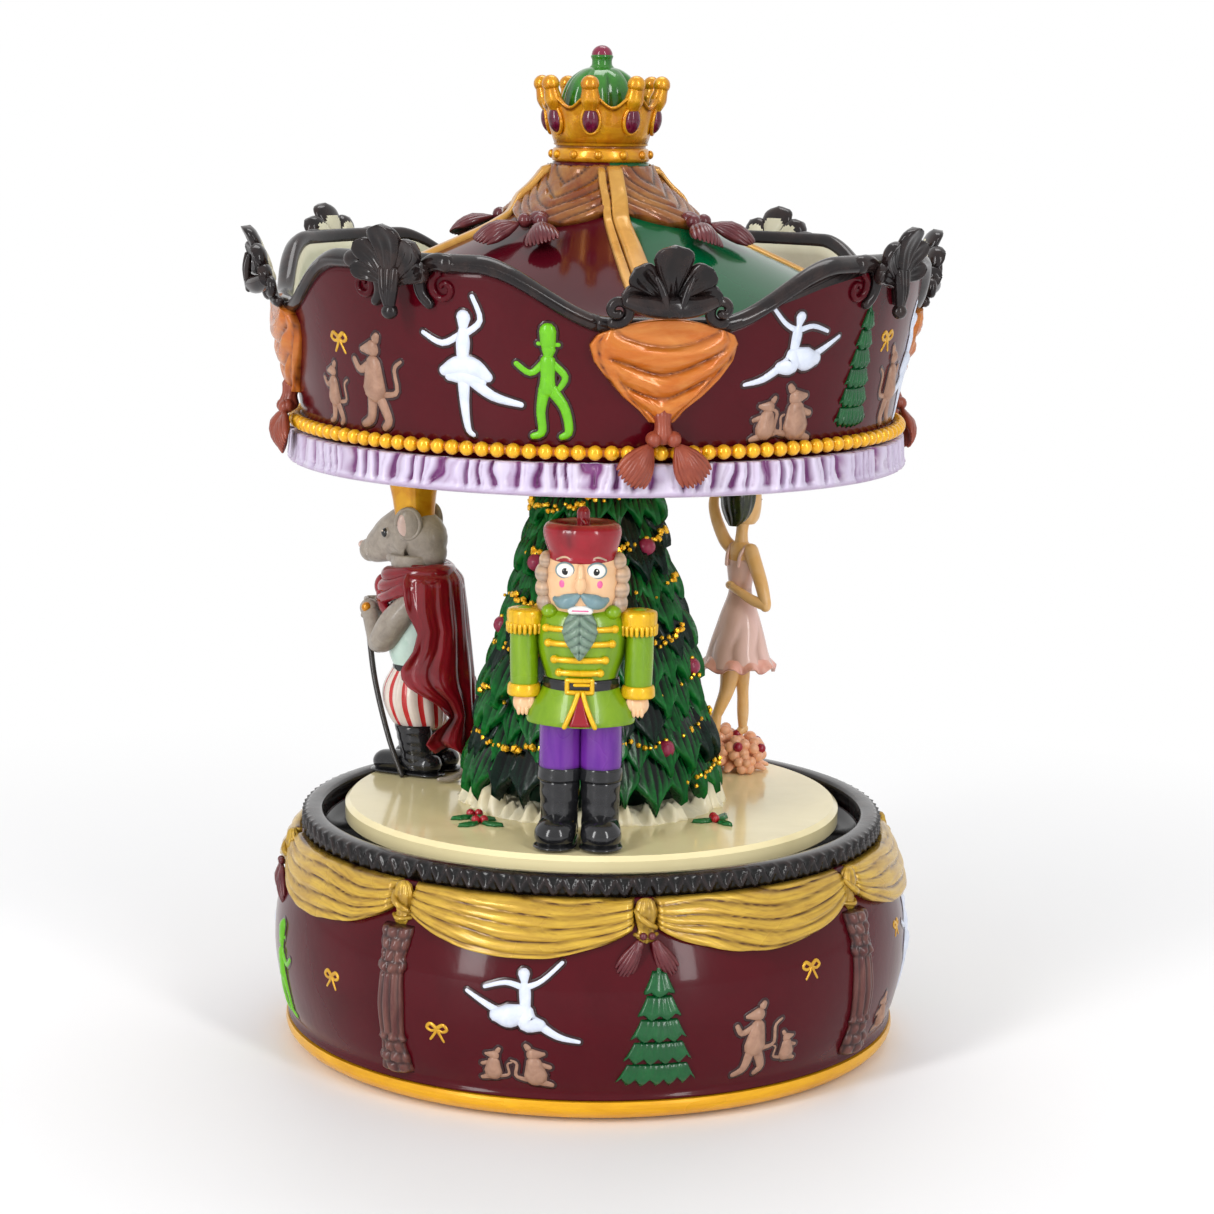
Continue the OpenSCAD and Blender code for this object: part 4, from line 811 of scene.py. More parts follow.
class CAROUSEL_OT_swags(bpy.types.Operator):
    """Hang the swags of cloth round the top of the drum, with a gathered knot between each two"""

    bl_idname = "carousel.swags"
    bl_label = "Swags and knots"

    def execute(self, context):
        step = 45
        bm = blank()
        for i in range(8):
            first = BASE_PHASE + i * step + 1.6
            span = step - 3.2

            def place(u, v):
                sag = 4 * u * (1 - u)
                turn = first + span * u
                hem = mix(5.2, 11.8, sag ** 0.8) + 0.25 * jitter(7 * u, i)
                z = DRUM_TOP + 0.2 - v * hem
                folds = v * 4.4 + 0.7 * jitter(2.4 * u, 1.6 * v, 2 * i) + 0.3 * sin(5 * u + i)
                crest = hills(folds, 0.7)
                fine = 0.26 * hills(folds * 2.6 + 2.4 * jitter(3 * u, i, 3), 0.8)
                out = 0.5 + 1.3 * sin(pi * v) ** 0.5 + crest * (0.45 + 0.55 * sag) + fine
                if at_edge(u, v):
                    out = -0.4
                # Painted shade in the grooves between the folds
                wash = 0.95 * (1 - crest) ** 2.2 + 0.4 * (0.26 - fine) / 0.26
                return (*polar(drum_r(z) + out, turn, z), wash)

            sheet(bm, place, 44, 34)
        make_piece("cloth_swags", bm, ["khaki_gold"], "base", "khaki_gold", ["base_swags"])

        bm = blank()
        for i in range(8):
            spot = stand_at(BASE_PHASE + i * step, drum_r(DRUM_TOP - 3.4) + 0.9)

            def folds(u, v):
                return 1 + 0.13 * cos(TAU * u * 9 + i) * (0.4 + 0.6 * abs(2 * v - 1))

            body = [(0, 0, 39.6, 2.2), (0.1, 0, 40.6, 1.7), (0, 0, 42.4, 2), (0, 0, 44.4, 2.3),
                    (0, 0, 45.4, 1.9)]
            carry(limb(bm, body, 0, 36, 16, flat=(1, 0.72), flute=folds), spot)
            band = [(-2, -0.4, 44.6, 0.55), (-1.2, -1.7, 43.4, 0.65), (0.5, -2, 42.2, 0.65),
                    (1.9, -0.9, 41.3, 0.55)]
            carry(limb(bm, band, 0, 12), spot)
            lip = [(-2.2, -0.4, 39.8, 0.45), (0, -1.8, 39.5, 0.5), (2.2, -0.4, 39.8, 0.45)]
            carry(limb(bm, lip, 0, 10), spot)
        layer = wash_layer(bm)
        for v in bm.verts:
            v[layer] = 0.35 + 0.35 * jitter(v.co.x, v.co.y, v.co.z)
        make_piece("swag_knots", bm, ["khaki_gold"], "base", "khaki_gold", ["base_knots"])
        return {"FINISHED"}


def tassel(bm, top, tip, wide, strands, knob):
    """Tassel of thick strands that fans from top to tip and faces -Y."""
    top, tip, out = Vector(top), Vector(tip), Vector((0, -1, 0))
    down = tip - top
    across = down.normalized().cross(out).normalized()
    verts = ball(bm, top, knob, 0, 12)
    neck = top + down * 0.18
    for k in range(strands):
        side = 2 * k / (strands - 1) - 1
        reach = 1 - 0.12 * side * side + 0.05 * jitter(k, top.x, top.z)
        bulge = out * (0.9 * (1 - side * side) * wide * 0.5)
        rod = [
            (*(neck + across * side * 0.35), 0.6),
            (*(top + down * 0.5 * reach + across * side * wide * 0.55 + bulge), 0.3 + wide * 0.19),
            (*(top + down * 0.8 * reach + across * side * wide * 0.85 + bulge * 0.8), 0.25 + wide * 0.17),
            (*(top + down * reach + across * side * wide * 0.95 + bulge * 0.3), 0.28),
        ]
        verts += limb(bm, rod, 0, 8, 6, ends=2)
    return verts


# Heights of a pilaster and of its fluted shaft
PILASTER_FOOT, SHAFT_FOOT, SHAFT_TOP, PILASTER_TOP = 7, 15.4, 29.4, 38.4


class CAROUSEL_OT_base_trims(bpy.types.Operator):
    """Model the pilasters and the small tassels under the knots"""

    bl_idname = "carousel.base_trims"
    bl_label = "Pilasters and tassels"

    def execute(self, context):
        half_widths = ((PILASTER_FOOT, 3.1), (8, 3.7), (11, 3.6), (13, 2.9), (14, 2.8), (14.8, 3.5),
                       (15.6, 2.9), (22, 3.2), (29, 2.8), (29.8, 3.4), (31, 3.4), (32, 2.8), (34, 3.3),
                       (37, 3.7), (PILASTER_TOP, 3.7))
        bm = blank()
        for i in range(4):
            turn = BASE_PHASE + 45 + 90 * i

            def place(u, v):
                z = mix(PILASTER_FOOT, PILASTER_TOP, v)
                half = along(half_widths, z)
                shaft = ease((z - SHAFT_FOOT) / 1.2) * ease((SHAFT_TOP - z) / 1.2)
                flute = hills(u * 5, 0.8)
                leaf = hills(u * 4 + 0.5 * floor(z / 2.4), 0.8) * hills(z / 2.4, 0.7)
                bumps = mix(0.75 * leaf + 0.3 * jitter(3 * u, z, i), 0.55 * flute, shaft)
                a = pi * u
                edge = v in (0, 1)
                out = -0.3 if edge else (0.62 * half + bumps) * sin(a)
                # The fourth value is painted shade in the hollows between the leaves and the flutes
                return (-half * cos(a), z, out, 0.8 * (1 - mix(leaf, flute, shaft)))

            onto_wall(sheet(bm, place, 42, 96), turn, 0, drum_r)
        make_piece("pilasters", bm, ["column_brown"], "base", "brown_paint", ["base_pilasters"])

        bm = blank()
        for i in range(4):
            spot = stand_at(BASE_PHASE + 90 * i, drum_r(36) + 0.2)
            for side in (-1, 1):
                carry(tassel(bm, (side * 0.9, -0.5, 40), (side * 5.2, -0.3, 32), 1.9, 6, 0.8), spot)
        make_piece("knot_tassels", bm, ["tassel_wine"], "base", "tassel_paint", ["base_tassels"])
        return {"FINISHED"}


class CAROUSEL_OT_base_reliefs(bpy.types.Operator):
    """Carve the dancers, mice, fir trees, toy soldiers and bows round the drum"""

    bl_idname = "carousel.base_reliefs"
    bl_label = "Reliefs on the drum"

    def execute(self, context):
        bm = blank()
        for k in range(2):
            turn = BASE_PHASE + 180 * k
            carve_ring(bm, DRUM_MOTIFS, turn, drum_r)
            carve_fir(bm, 18, 25.6, turn + 2, 7.6, drum_r, GREEN)
        make_piece("drum_reliefs", bm, RELIEF_PAINTS, "base", "wine_lacquer", weld=0.001)
        return {"FINISHED"}


# ---------------------------------------------------------------- roof


class CAROUSEL_OT_frill(bpy.types.Operator):
    """Gather the lilac frill under the roof and paint the bead row above it"""

    bl_idname = "carousel.frill"
    bl_label = "Frill and beads"

    def execute(self, context):
        count = sizes().pleat_count
        inner = FRILL_R - 5
        rows = [(inner, FRILL_TOP), (inner, ROOF_FOOT + 0.4), (inner + 0.4, ROOF_FOOT),
                (FRILL_R - 1.1, ROOF_FOOT)]
        rows += [(None, mix(ROOF_FOOT + 0.25, FRILL_TOP - 0.1, t / 11)) for t in range(12)]
        rows += [(FRILL_R - 2.4, FRILL_TOP), (inner, FRILL_TOP)]

        def place(u, v):
            r, z = rows[round(v * (len(rows) - 1))]
            wash = 0
            if r is None:
                t = (z - ROOF_FOOT) / (FRILL_TOP - ROOF_FOOT)
                x, y = cos(TAU * u), sin(TAU * u)
                lean = 0.55 * jitter(6 * x, 6 * y, 1.3) * t + 0.22 * jitter(20 * x, 20 * y, 2 * t)
                phase = count * u + 0.8 * jitter(9 * x, 9 * y) + lean
                fold = hills(phase, 0.6)
                small = hills(2 * phase + 0.7 * jitter(12 * x, 12 * y, 4), 0.8)
                rim = ease((t - 0.16) / 0.12)
                depth = mix(0.5, 2.3, rim) * (1 - fold) + 0.55 * (1 - small) * rim
                r = FRILL_R - 0.1 - 0.45 * t - depth - 0.5 * ease((0.1 - t) / 0.1)
                # Painted shade in the grooves of the pleats; the last term makes the frill darker towards its foot
                wash = 1.5 * (1 - fold) ** 1.3 * rim + 0.45 * (1 - small) * rim + 0.5 * ease((0.2 - t) / 0.12)
            p = polar(r, 360 * u, z)
            return (p.x, p.y, p.z, wash)

        bm = blank()
        sheet(bm, place, count * 9, len(rows) - 1)
        make_piece("gathered_frill", bm, ["frill_lilac"], "carousel", "frill_paint", ["roof_frill"])
        dress("bead_gold", "bead_row")
        bm = blank()
        z = FRILL_TOP + 2.1
        lathe(bm, [(valance_r(z) + 0.9 + cos(radians(a)), z + 0.95 * sin(radians(a)))
                   for a in range(0, 361, 40)], 160)
        make_piece("bead_cord", bm, ["amber_glaze"], "carousel", "bright_gold")
        dress("cream_enamel", "roof_ceiling")
        return {"FINISHED"}


# Radius at which a scroll's reach across becomes a turn
SCROLL_R = 70


def scroll(bm, mid, side, centre, arc, first, last, stand, thick, paint, around, points, steps, ends):
    """Curled rod on the valance, beside a hump or a valley of its edge.

    The centre is (turn, height) from there, the arc (start, sweep) in degrees, first and last are
    (across, up) reaches at its two ends, and stand and thick are its distance out and its radius there.
    """
    curl = []
    for s in range(points + 1):
        t = s / points
        a = radians(arc[0] + arc[1] * t)
        turn = mid + side * (centre[0] + degrees(mix(first[0], last[0], t) * cos(a) / SCROLL_R))
        z = edge_z(mid) + centre[1] + mix(first[1], last[1], t) * sin(a)
        curl.append((*polar(valance_r(z) + mix(*stand, t), turn, z), mix(*thick, t)))
    limb(bm, curl, paint, around, steps, ends=ends)


class CAROUSEL_OT_valance(bpy.types.Operator):
    """Model the waved valance, lacquered outside and pale inside, and the dark moulding along its edge"""

    bl_idname = "carousel.valance"
    bl_label = "Valance and moulding"

    def execute(self, context):
        rows = 18

        def place(u, v):
            turn = 360 * u
            top = edge_z(turn) + 0.4
            k = round(v * (2 * rows + 2))
            if k <= rows:
                z = mix(FRILL_TOP, top, k / rows)
                r = valance_r(z)
            elif k < 2 * rows + 2:
                z = mix(top, FRILL_TOP, (k - rows - 1) / rows)
                r = valance_r(z) - VALANCE_T
            else:
                z = FRILL_TOP
                r = valance_r(z)
            # The fourth value makes the valance darker towards its foot
            return (*polar(r, turn, z), 0.25 * ease((FRILL_TOP + 4 - z) / 4))

        bm = blank()
        verts = sheet(bm, place, 288, 2 * rows + 2)
        for f in faces_of(verts):
            centre = f.calc_center_median()
            if hypot(centre.x, centre.y) < valance_r(centre.z) - 0.4 * VALANCE_T:
                f.material_index = 1
        make_piece("waved_valance", bm, ["wine_lacquer", "pale_lining"], "carousel", "wine_lacquer",
                   ["roof_valance"])

        bm = blank()

        def band(u, v):
            turn = 360 * u
            z0 = edge_z(turn) + 1.2
            a = TAU * v
            hump = ease((from_valley(turn) - 6) / 30)
            size = mix(1.8, 2.1, hump)
            ridge = 0.2 * cos(3 * a + 0.5) * hump + 0.05 * jitter(turn * 0.11, v * 3)
            out = (size + ridge) * cos(a)
            up = (0.92 * size + ridge) * sin(a)
            # The fourth value is painted shade in the grooves between the moulding's ridges
            return (*polar(valance_r(z0) - 0.5 + out, turn, z0 + up), 0.5 * max(0, -cos(3 * a + 0.5)) * hump)

        sheet(bm, band, 432, 20)
        for k in range(4):
            hump = ROOF_PHASE + 45 + 90 * k
            valley = ROOF_PHASE + 90 * k
            for side in (-1, 1):
                scroll(bm, hump, side, (8.2, -3.4), (110, 400), (3, 3), (0.6, 0.6), (0.2, 0.2), (0.95, 0.5),
                       1, 10, 14, 28, 2)
                scroll(bm, hump, side, (8, -3), (70, 160), (4.9, 4.7), (4.9, 4.7), (0.6, 0.6), (1.9, 1.1),
                       0, 14, 8, 24, 3)
                scroll(bm, valley, side, (8.2, 4.4), (-110, 400), (-2.7, 2.7), (-0.7, 0.7), (2.4, 3.6),
                       (1.2, 0.9), 0, 10, 10, 24, 2)
        make_piece("edge_moulding", bm, ["dark_bronze", "wine_lacquer"], "carousel", "dark_bronze",
                   ["roof_moulding"], weld=0.001)
        return {"FINISHED"}


# Petals of the crests: tip across and up from the foot, half width, how far out it stands
HUMP_PETALS = ((8.9, 3.6, 2.3, 0.2), (6.9, 8.8, 2.9, 0.8), (0, 12.4, 3.9, 1.8))
VALLEY_PETALS = ((9.8, 2.4, 2.6, 0.4), (7.6, 7.6, 3.1, 0.9), (0, 12.2, 4, 1.6))
PETAL_HALF = ((0, 0.3), (0.25, 0.42), (0.55, 0.8), (0.75, 1), (0.88, 0.93), (0.96, 0.62), (1, 0.12))


def petal(bm, across, up, half, stand):
    """Scooped petal with a rolled tip, from the foot of a crest to a point across and up."""
    reach = hypot(across, up)
    tilt = atan2(across, up)

    def place(u, v):
        a = TAU * u
        side, face = cos(a), sin(a)
        wide = half * along(PETAL_HALF, v)
        scoop = ease((v - 0.25) / 0.4) * (1 - side * side) * 0.55
        vein = 0.1 * cos(3 * pi * side) * ease((0.9 - v) / 0.2)
        thick = mix(1.5, 1.9, v) * (1 if v < 0.9 else 1 - 4 * (v - 0.9) ** 1.2)
        out = thick * (face * (1 - scoop) + vein) if face > 0 else 0.9 * thick * face
        out += stand * (0.4 + 0.6 * v) + 1.9 * v ** 3
        x, z = wide * side, reach * v
        # Painted shade in the petal's scoop and between its veins, on the front only
        wash = (0.9 * scoop + 0.25 * abs(cos(3 * pi * side)) * (1 - v)) if face > 0 else 0
        return (x * cos(tilt) + z * sin(tilt), -out, z * cos(tilt) - x * sin(tilt), wash)

    return sheet(bm, place, 36, 20)


def crest(bm, petals, spot, lean):
    """Fan of petals with a pale back; paint 0 is the front and 1 the back."""
    tilt = Matrix.Rotation(radians(lean), 4, "X")
    for across, up, half, stand in petals:
        for side in (-1, 1) if across else (1,):
            verts = petal(bm, side * across, up, half, stand)
            for f in faces_of(verts):
                if f.calc_center_median().y > -stand * 0.6 + 0.3:
                    f.material_index = 1
            carry(verts, spot @ tilt)


class CAROUSEL_OT_crests(bpy.types.Operator):
    """Model the leaf crests on the humps of the roof edge and the shell crests in its valleys"""

    bl_idname = "carousel.crests"
    bl_label = "Crests"

    def execute(self, context):
        bm = blank()
        for k in range(4):
            turn = ROOF_PHASE + 45 + 90 * k
            z = edge_z(turn) - 3
            spot = stand_at(turn, valance_r(z) + 1.6, z)
            crest(bm, HUMP_PETALS, spot, CREST_LEAN)
            for x in (-1.5, 0, 1.5):
                stem = [(x, -2.2, 2.6, 1.1), (0.7 * x, -2.4, -1.4, 1), (0.2 * x, -2, -4.6, 0.8)]
                carry(limb(bm, stem, 0, 16), spot)
            carry(ball(bm, (0, -2, -5.2), (1.8, 1.5, 1.6), 0), spot)
        make_piece("hump_leaves", bm, ["dark_bronze", "pale_lining"], "carousel", "dark_bronze",
                   ["hump_crests"], weld=0.001)
        bm = blank()
        for k in range(4):
            turn = ROOF_PHASE + 90 * k
            z = edge_z(turn) + 5.4
            spot = stand_at(turn, valance_r(z) + 1.6, z)
            crest(bm, VALLEY_PETALS, spot, CREST_LEAN)
            shield = [(-8.4, -1.6, 0.8, 1.5), (-4.4, -2.7, -0.2, 2), (0, -3.2, -0.4, 2.2),
                      (4.4, -2.7, -0.2, 2), (8.4, -1.6, 0.8, 1.5)]
            carry(limb(bm, shield, 0, 20, 20), spot)
            for side in (-1, 1):
                rib = [(side, -4.6, -1.8, 0.5), (side * 2.2, -4.9, 2.4, 0.8), (side * 3.6, -4.6, 5.4, 0.5)]
                carry(limb(bm, rib, 0, 10), spot)
        make_piece("valley_shells", bm, ["dark_bronze", "pale_lining"], "carousel", "dark_bronze",
                   ["valley_crests"], weld=0.001)
        return {"FINISHED"}


class CAROUSEL_OT_drapes(bpy.types.Operator):
    """Hang the gathered drapes and their tassels under the valley crests"""

    bl_idname = "carousel.drapes"
    bl_label = "Drapes and tassels"

    def execute(self, context):
        outline = ((0, 13.6), (0.12, 15), (0.3, 13.9), (0.5, 11.2), (0.7, 7.9), (0.86, 4.4), (1, 2.2))
        bm = blank()
        for k in range(4):
            mid = ROOF_PHASE + 90 * k

            def place(u, v):
                side = 2 * u - 1
                half = along(outline, v)
                x = half * side
                y = (2.8 - 3.4 * side * side) * (1 - v) - 18.1 * v
                fold = v + 0.46 * side * side * (1 - 0.5 * v)
                depth = ease((fold - 0.16) / 0.14)
                ripple = 0.25 * side * sin(4 * v) + 0.15 * jitter(2 * u, 3 * v, k)
                crest_line = hills(3.9 * fold + ripple, 0.6)
                fine = hills(13 * fold + 1.1 * jitter(3 * u, 4 * v, k + 9), 0.8)
                hem = ease((abs(side) - 0.72) / 0.16)
                hang = hills(side * 6 + 1.5 * v, 0.7)
                relief = mix(crest_line * 1.6 + 0.16 * fine, 0.9 * hang, hem) * depth
                out = 0.55 + 0.9 * (1 - side ** 4) + (1 - v) ** 4 + relief * (0.45 + 0.75 * sin(pi * v))
                if at_edge(u, v):
                    out = -0.4
                # Painted shade in the grooves between the folds
                groove = mix(1 - crest_line, 1 - hang, hem) * depth
                return (x, y, out, 0.95 * groove ** 1.5 + 0.1 * (1 - fine) * depth)

            onto_wall(sheet(bm, place, 56, 60), mid, edge_z(mid), valance_r)
        make_piece("hung_drapes", bm, ["orange_bronze"], "carousel", "orange_bronze", ["valance_drapes"])

        bm = blank()
        for k in range(4):
            mid = ROOF_PHASE + 90 * k
            z = edge_z(mid) - 18.4
            spot = stand_at(mid, valance_r(z) + 2.1, z)
            knot = [(0, 0.4, 1.8, 1.9), (0, 0, 0, 1.5), (0, -0.2, -1.8, 2)]
            carry(limb(bm, knot, 0, 24, flute=lambda u, v: 1 + 0.1 * cos(TAU * u * 8)), spot)
            for side in (-1, 1):
                carry(ball(bm, (side * 1.9, -0.6, -2.4), (1.7, 1.3, 1.5), 0), spot)
                top, tip = (side * 2, -1.2, -2.6), (side * 7.2, -1.8, -11)
                carry(tassel(bm, top, tip, 3.4, 9, 1.5), spot)
        make_piece("drape_cords", bm, ["tassel_brown"], "carousel", "tassel_paint", ["drape_tassels"])
        return {"FINISHED"}


class CAROUSEL_OT_roof_reliefs(bpy.types.Operator):
    """Carve the dancers, mice, fir trees, toy soldiers and bows round the valance"""

    bl_idname = "carousel.roof_reliefs"
    bl_label = "Reliefs on the valance"

    def execute(self, context):
        bm = blank()
        for k in range(2):
            turn = ROOF_PHASE + 180 * k
            carve_ring(bm, VALANCE_MOTIFS, turn, valance_r)
            carve_fir(bm, 11.5, 25, turn + 42, 139, valance_r, GREEN, tiers=6)
        make_piece("valance_reliefs", bm, RELIEF_PAINTS, "carousel", "wine_lacquer", weld=0.001)
        return {"FINISHED"}


class CAROUSEL_OT_tent(bpy.types.Operator):
    """Model the tent's four lacquered panels, its ribs, and the cloth tied round its neck"""

    bl_idname = "carousel.tent"
    bl_label = "Tent"

    def execute(self, context):
        line = [(r, ROOF_FOOT + h) for r, h in TENT_CURVE]
        under = [(r - 0.8, z - 2.2) for r, z in reversed(line)]
        under[-1] = (2.6, NECK_TOP - 5)
        profile = line + under + [(2.6, NECK_TOP), line[0]]
        bm = blank()
        verts = lathe(bm, profile, 192)
        for f in faces_of(verts):
            centre = f.calc_center_median()
            turn = degrees(atan2(centre.x, -centre.y))
            quarter = floor((turn - ROOF_PHASE) / 90) % 2
            f.material_index = 1 if quarter == 0 else 0
        make_piece("tent_panels", bm, ["tent_wine", "tent_green"], "carousel", "tent_paint", ["roof_tent"])

        bm = blank()
        for k in range(4):
            spot = Matrix.Rotation(radians(ROOF_PHASE + 90 * k), 4, "Z")
            for offset, wide, thick, reach in ((0.7, 2.1, 1.3, 0.93), (-2.3, 1, 0.8, 0.9)):

                def place(u, v):
                    r = mix(NECK_R + 0.2, VALANCE_FOOT_R - 2, (reach * v) ** 1.25)
                    half = wide * mix(0.75, 1.15, v)
                    a = TAU * u
                    x = copysign(abs(cos(a)) ** 0.5, cos(a)) * half
                    up = copysign(abs(sin(a)) ** 0.6, sin(a)) * thick
                    x += offset * mix(0.9, 1.25, v) + 0.25 * jitter(5 * v, offset, k)
                    r += 0.45 * up
                    lift = 1.9 * ease((r - NECK_R - 0.4) / 1.4) * ease((20.5 - r) / 4)
                    return (x, -r - 0.5 * lift, tent_z(r) + 0.1 + 0.9 * (up + lift),
                            0.12 + 0.2 * jitter(9 * v, 3 * u))

                carry(sheet(bm, place, 24, 44), spot)
        make_piece("tent_strips", bm, ["rib_gold"], "carousel", "rib_gold", ["tent_ribs"])

        bm = blank()
        for k in range(4):
            mid = ROOF_PHASE + 45 + 90 * k

            def cloth(u, v):
                side = 2 * u - 1
                reach = mix(13, 7.4, abs(side) ** 1.3)
                r = NECK_R + 0.3 + v * reach
                fold = 4.6 * v + 1.9 * abs(side) + 0.25 * jitter(4 * u, 3 * v, k)
                crest_line = hills(fold, 0.7)
                fine = hills(3.1 * fold + 1.4 * jitter(3 * u, 5 * v, k + 5), 0.8)
                up = 0.5 + 0.95 * crest_line * (0.4 + 0.6 * v) + 0.16 * fine + 0.5 * sin(pi * v)
                if at_edge(u, v):
                    up = -0.2
                # Painted shade in the grooves between the folds
                groove = 0.9 * (1 - crest_line) ** 1.5 + 0.2 * (1 - fine)
                p = polar(r + 0.5 * up, mid + 44.2 * side, tent_z(r) + 0.2 + 0.9 * up)
                return (p.x, p.y, p.z, groove)

            sheet(bm, cloth, 72, 36)
        make_piece("neck_cloth", bm, ["copper_cloth"], "carousel", "orange_bronze", ["tent_swags"])

        bm = blank()
        for k in range(4):
            mid = ROOF_PHASE + 45 + 90 * k
            r = NECK_R + 12.6
            down = Matrix.Rotation(radians(-62), 4, "X")
            spot = stand_at(mid, r, tent_z(r) + 1.6) @ down
            carry(ball(bm, (0, -0.4, 0), (2.4, 1.5, 2), 0), spot)
            for side in (-1, 1):
                carry(ball(bm, (side * 1.6, -0.7, -1.6), (1.5, 1.2, 1.5), 0), spot)
                carry(tassel(bm, (side * 2, -0.9, -2), (side * 8.4, -1, -11.4), 3.4, 9, 1.6), spot)
        make_piece("neck_tassels", bm, ["tassel_wine"], "carousel", "tassel_paint")
        return {"FINISHED"}


class CAROUSEL_OT_crown(bpy.types.Operator):
    """Model the jewelled crown and the gored cap inside it"""

    bl_idname = "carousel.crown"
    bl_label = "Crown"

    def execute(self, context):
        foot = NECK_TOP
        points = sizes().crown_points
        phase = ROOF_PHASE - 22
        jewel = foot + 8.8
        rows = [(2.6, 3.4), (2.6, 0), (9.7, 0), (10.3, 0.25), (10.5, 0.9), (10.4, 2.2), (10.1, 2.8), (9.6, 3),
                (9.6, 3.4), (10.1, 3.6), (9.9, 4)]
        outer = [(10, 0), (10.5, 0.18), (11.1, 0.4), (11.6, 0.65), (11.9, 0.85), (12.2, 0.93), (12.7, 0.97),
                 (12.7, 1.01), (12, 1.03)]
        inner = [(11, 0.97), (10.3, 0.6), (8.3, 0.05)]
        last = len(rows) + len(outer) + len(inner)

        def edge(turn):
            a = points * (turn - phase)
            return foot + 12.9 + 1.4 * cos(radians(a)) + 0.5 * max(0, cos(radians(a))) ** 4

        def place(u, v):
            turn = 360 * u
            k = round(v * last)
            lip = edge(turn)
            wash = 0
            if k < len(rows):
                r, z = rows[k][0], foot + rows[k][1]
                # Painted shade in the groove round the band
                wash = 0.7 if k in (7, 8) else 0.1
            elif k < len(rows) + len(outer):
                r, t = outer[k - len(rows)]
                z = mix(foot + 4, lip, t)
                r += 0.5 * ((lip - foot - 12.4) / 2.4) * t ** 3
                # Painted shade under the rolled lip and at the foot of the wall
                wash = 0.75 * (0.87 < t < 0.95) + 0.4 * (t < 0.1)
            elif k < last:
                r, t = inner[k - len(rows) - len(outer)]
                z = mix(foot + 4.4, lip, t)
                # Painted shade on the inside of the crown
                wash = 0.3
            else:
                r, z = rows[0][0], foot + rows[0][1]
            return (*polar(r, turn, z), wash)

        bm = blank()
        sheet(bm, place, 240, last)
        for i in range(12):
            stud = ball(bm, (0, 0, 0), (0.95, 0.8, 0.95), 0, 12)
            carry(stud, stand_at(phase + 8 + 30 * i, 10.5, foot + 1.6))
        for i in range(points):
            turn = phase + 360 / points * i
            spot = stand_at(turn, 0)
            prong = [(0, -11.5, foot + 11, 1.5), (0, -12.2, foot + 13, 2.1), (0, -12.7, foot + 14.8, 1.8),
                     (0, -12.9, foot + 16.2, 1.7)]
            carry(limb(bm, prong, 0, 20, 14, flat=(1, 0.85)), spot)
            carry(ball(bm, (0, -12.95, foot + 16.3), (2, 1.85, 1.85), 0), spot)
            bezel = []
            for s in range(21):
                a = TAU * s / 20
                bezel.append((1.95 * cos(a), -11.5 - 0.5 * sin(a), jewel + 2.85 * sin(a), 0.42))
            carry(limb(bm, bezel, 0, 8, 40, ends=1), spot)
        make_piece("crown_gold", bm, ["crown_gold"], "carousel", "crown_gold", ["crown"], weld=0.001)

        bm = blank()
        for i in range(points):
            spot = stand_at(phase + 360 / points * i, 11.6, jewel) @ Matrix.Rotation(radians(10), 4, "X")
            verts = ball(bm, (0, 0, 0), (1.8, 1.5, 2.7), 0, 32)
            layer = wash_layer(bm)
            for v in verts:
                # The groove dents the gem and is painted shade in it
                groove = 1 - hills(v.co.x * 1.3 + 0.5, 0.8)
                v.co.y *= 1 - 0.05 * groove
                v[layer] = 0.6 * groove
            carry(verts, spot)
        make_piece("crown_rubies", bm, ["ruby_glass"], "carousel", "gem_red", ["crown_jewels"])

        bm = blank()
        base = CROWN_TOP - 15.5
        dome = smooth_line([(0.2, base), (8.1, base), (8.7, base + 2), (8.5, base + 5), (7, base + 8.2),
                            (4.5, base + 10.2), (2.4, base + 10.9)], 34)
        gores = 8

        def gored(turn, r, z):
            ridge = hills(gores * (turn - phase - 22.5) / 360, 0.5)
            second = hills(2 * gores * (turn - phase) / 360, 0.7)
            full = ease((z - base) / 2) * ease((base + 11.2 - z) / 3)
            # The third value is painted shade in the grooves between the gores
            return (r * (1 - 0.13 * (1 - ridge) * full - 0.02 * (1 - second) * full), z,
                    0.75 * (1 - ridge) ** 1.5 * full)

        lathe(bm, dome, 160, 0, gored)
        stem = [(0.1, base + 10.4), (2.6, base + 10.6), (2.2, base + 11.4), (2.15, base + 12.4),
                (2.3, base + 13.4), (0.1, base + 13.8)]
        lathe(bm, smooth_line(stem, 16), 40, 0)
        carry(ball(bm, (0, 0, 0), (2.25, 2.25, 2.1), 1, 24), Matrix.Translation((0, 0, CROWN_TOP - 2.1)))
        make_piece("gored_cap", bm, ["cap_enamel", "knob_wine"], "carousel", "cap_green", ["crown_cap"],
                   weld=0.001)
        return {"FINISHED"}


# ---------------------------------------------------------------- platform and tree

TREE_FOOT = STAGE + 2.2
TREE_TOP = ROOF_FOOT + 0.8
TREE_OUTLINE = (
    (STAGE, 24), (54, 25.4), (58, 26.4), (62, 26), (68, 24.6), (74, 23.2), (85, 20.8), (92, 18.8),
    (99, 16.8), (108, 14.6), (118, 12.2), (129, 10.4),
)
CORE_INSET = 5.2
SNOW_R = 29.2
GARLAND_TURNS = 6.4
GARLAND_GRAINS = 760


def tree_r(z):
    return along(TREE_OUTLINE, z)


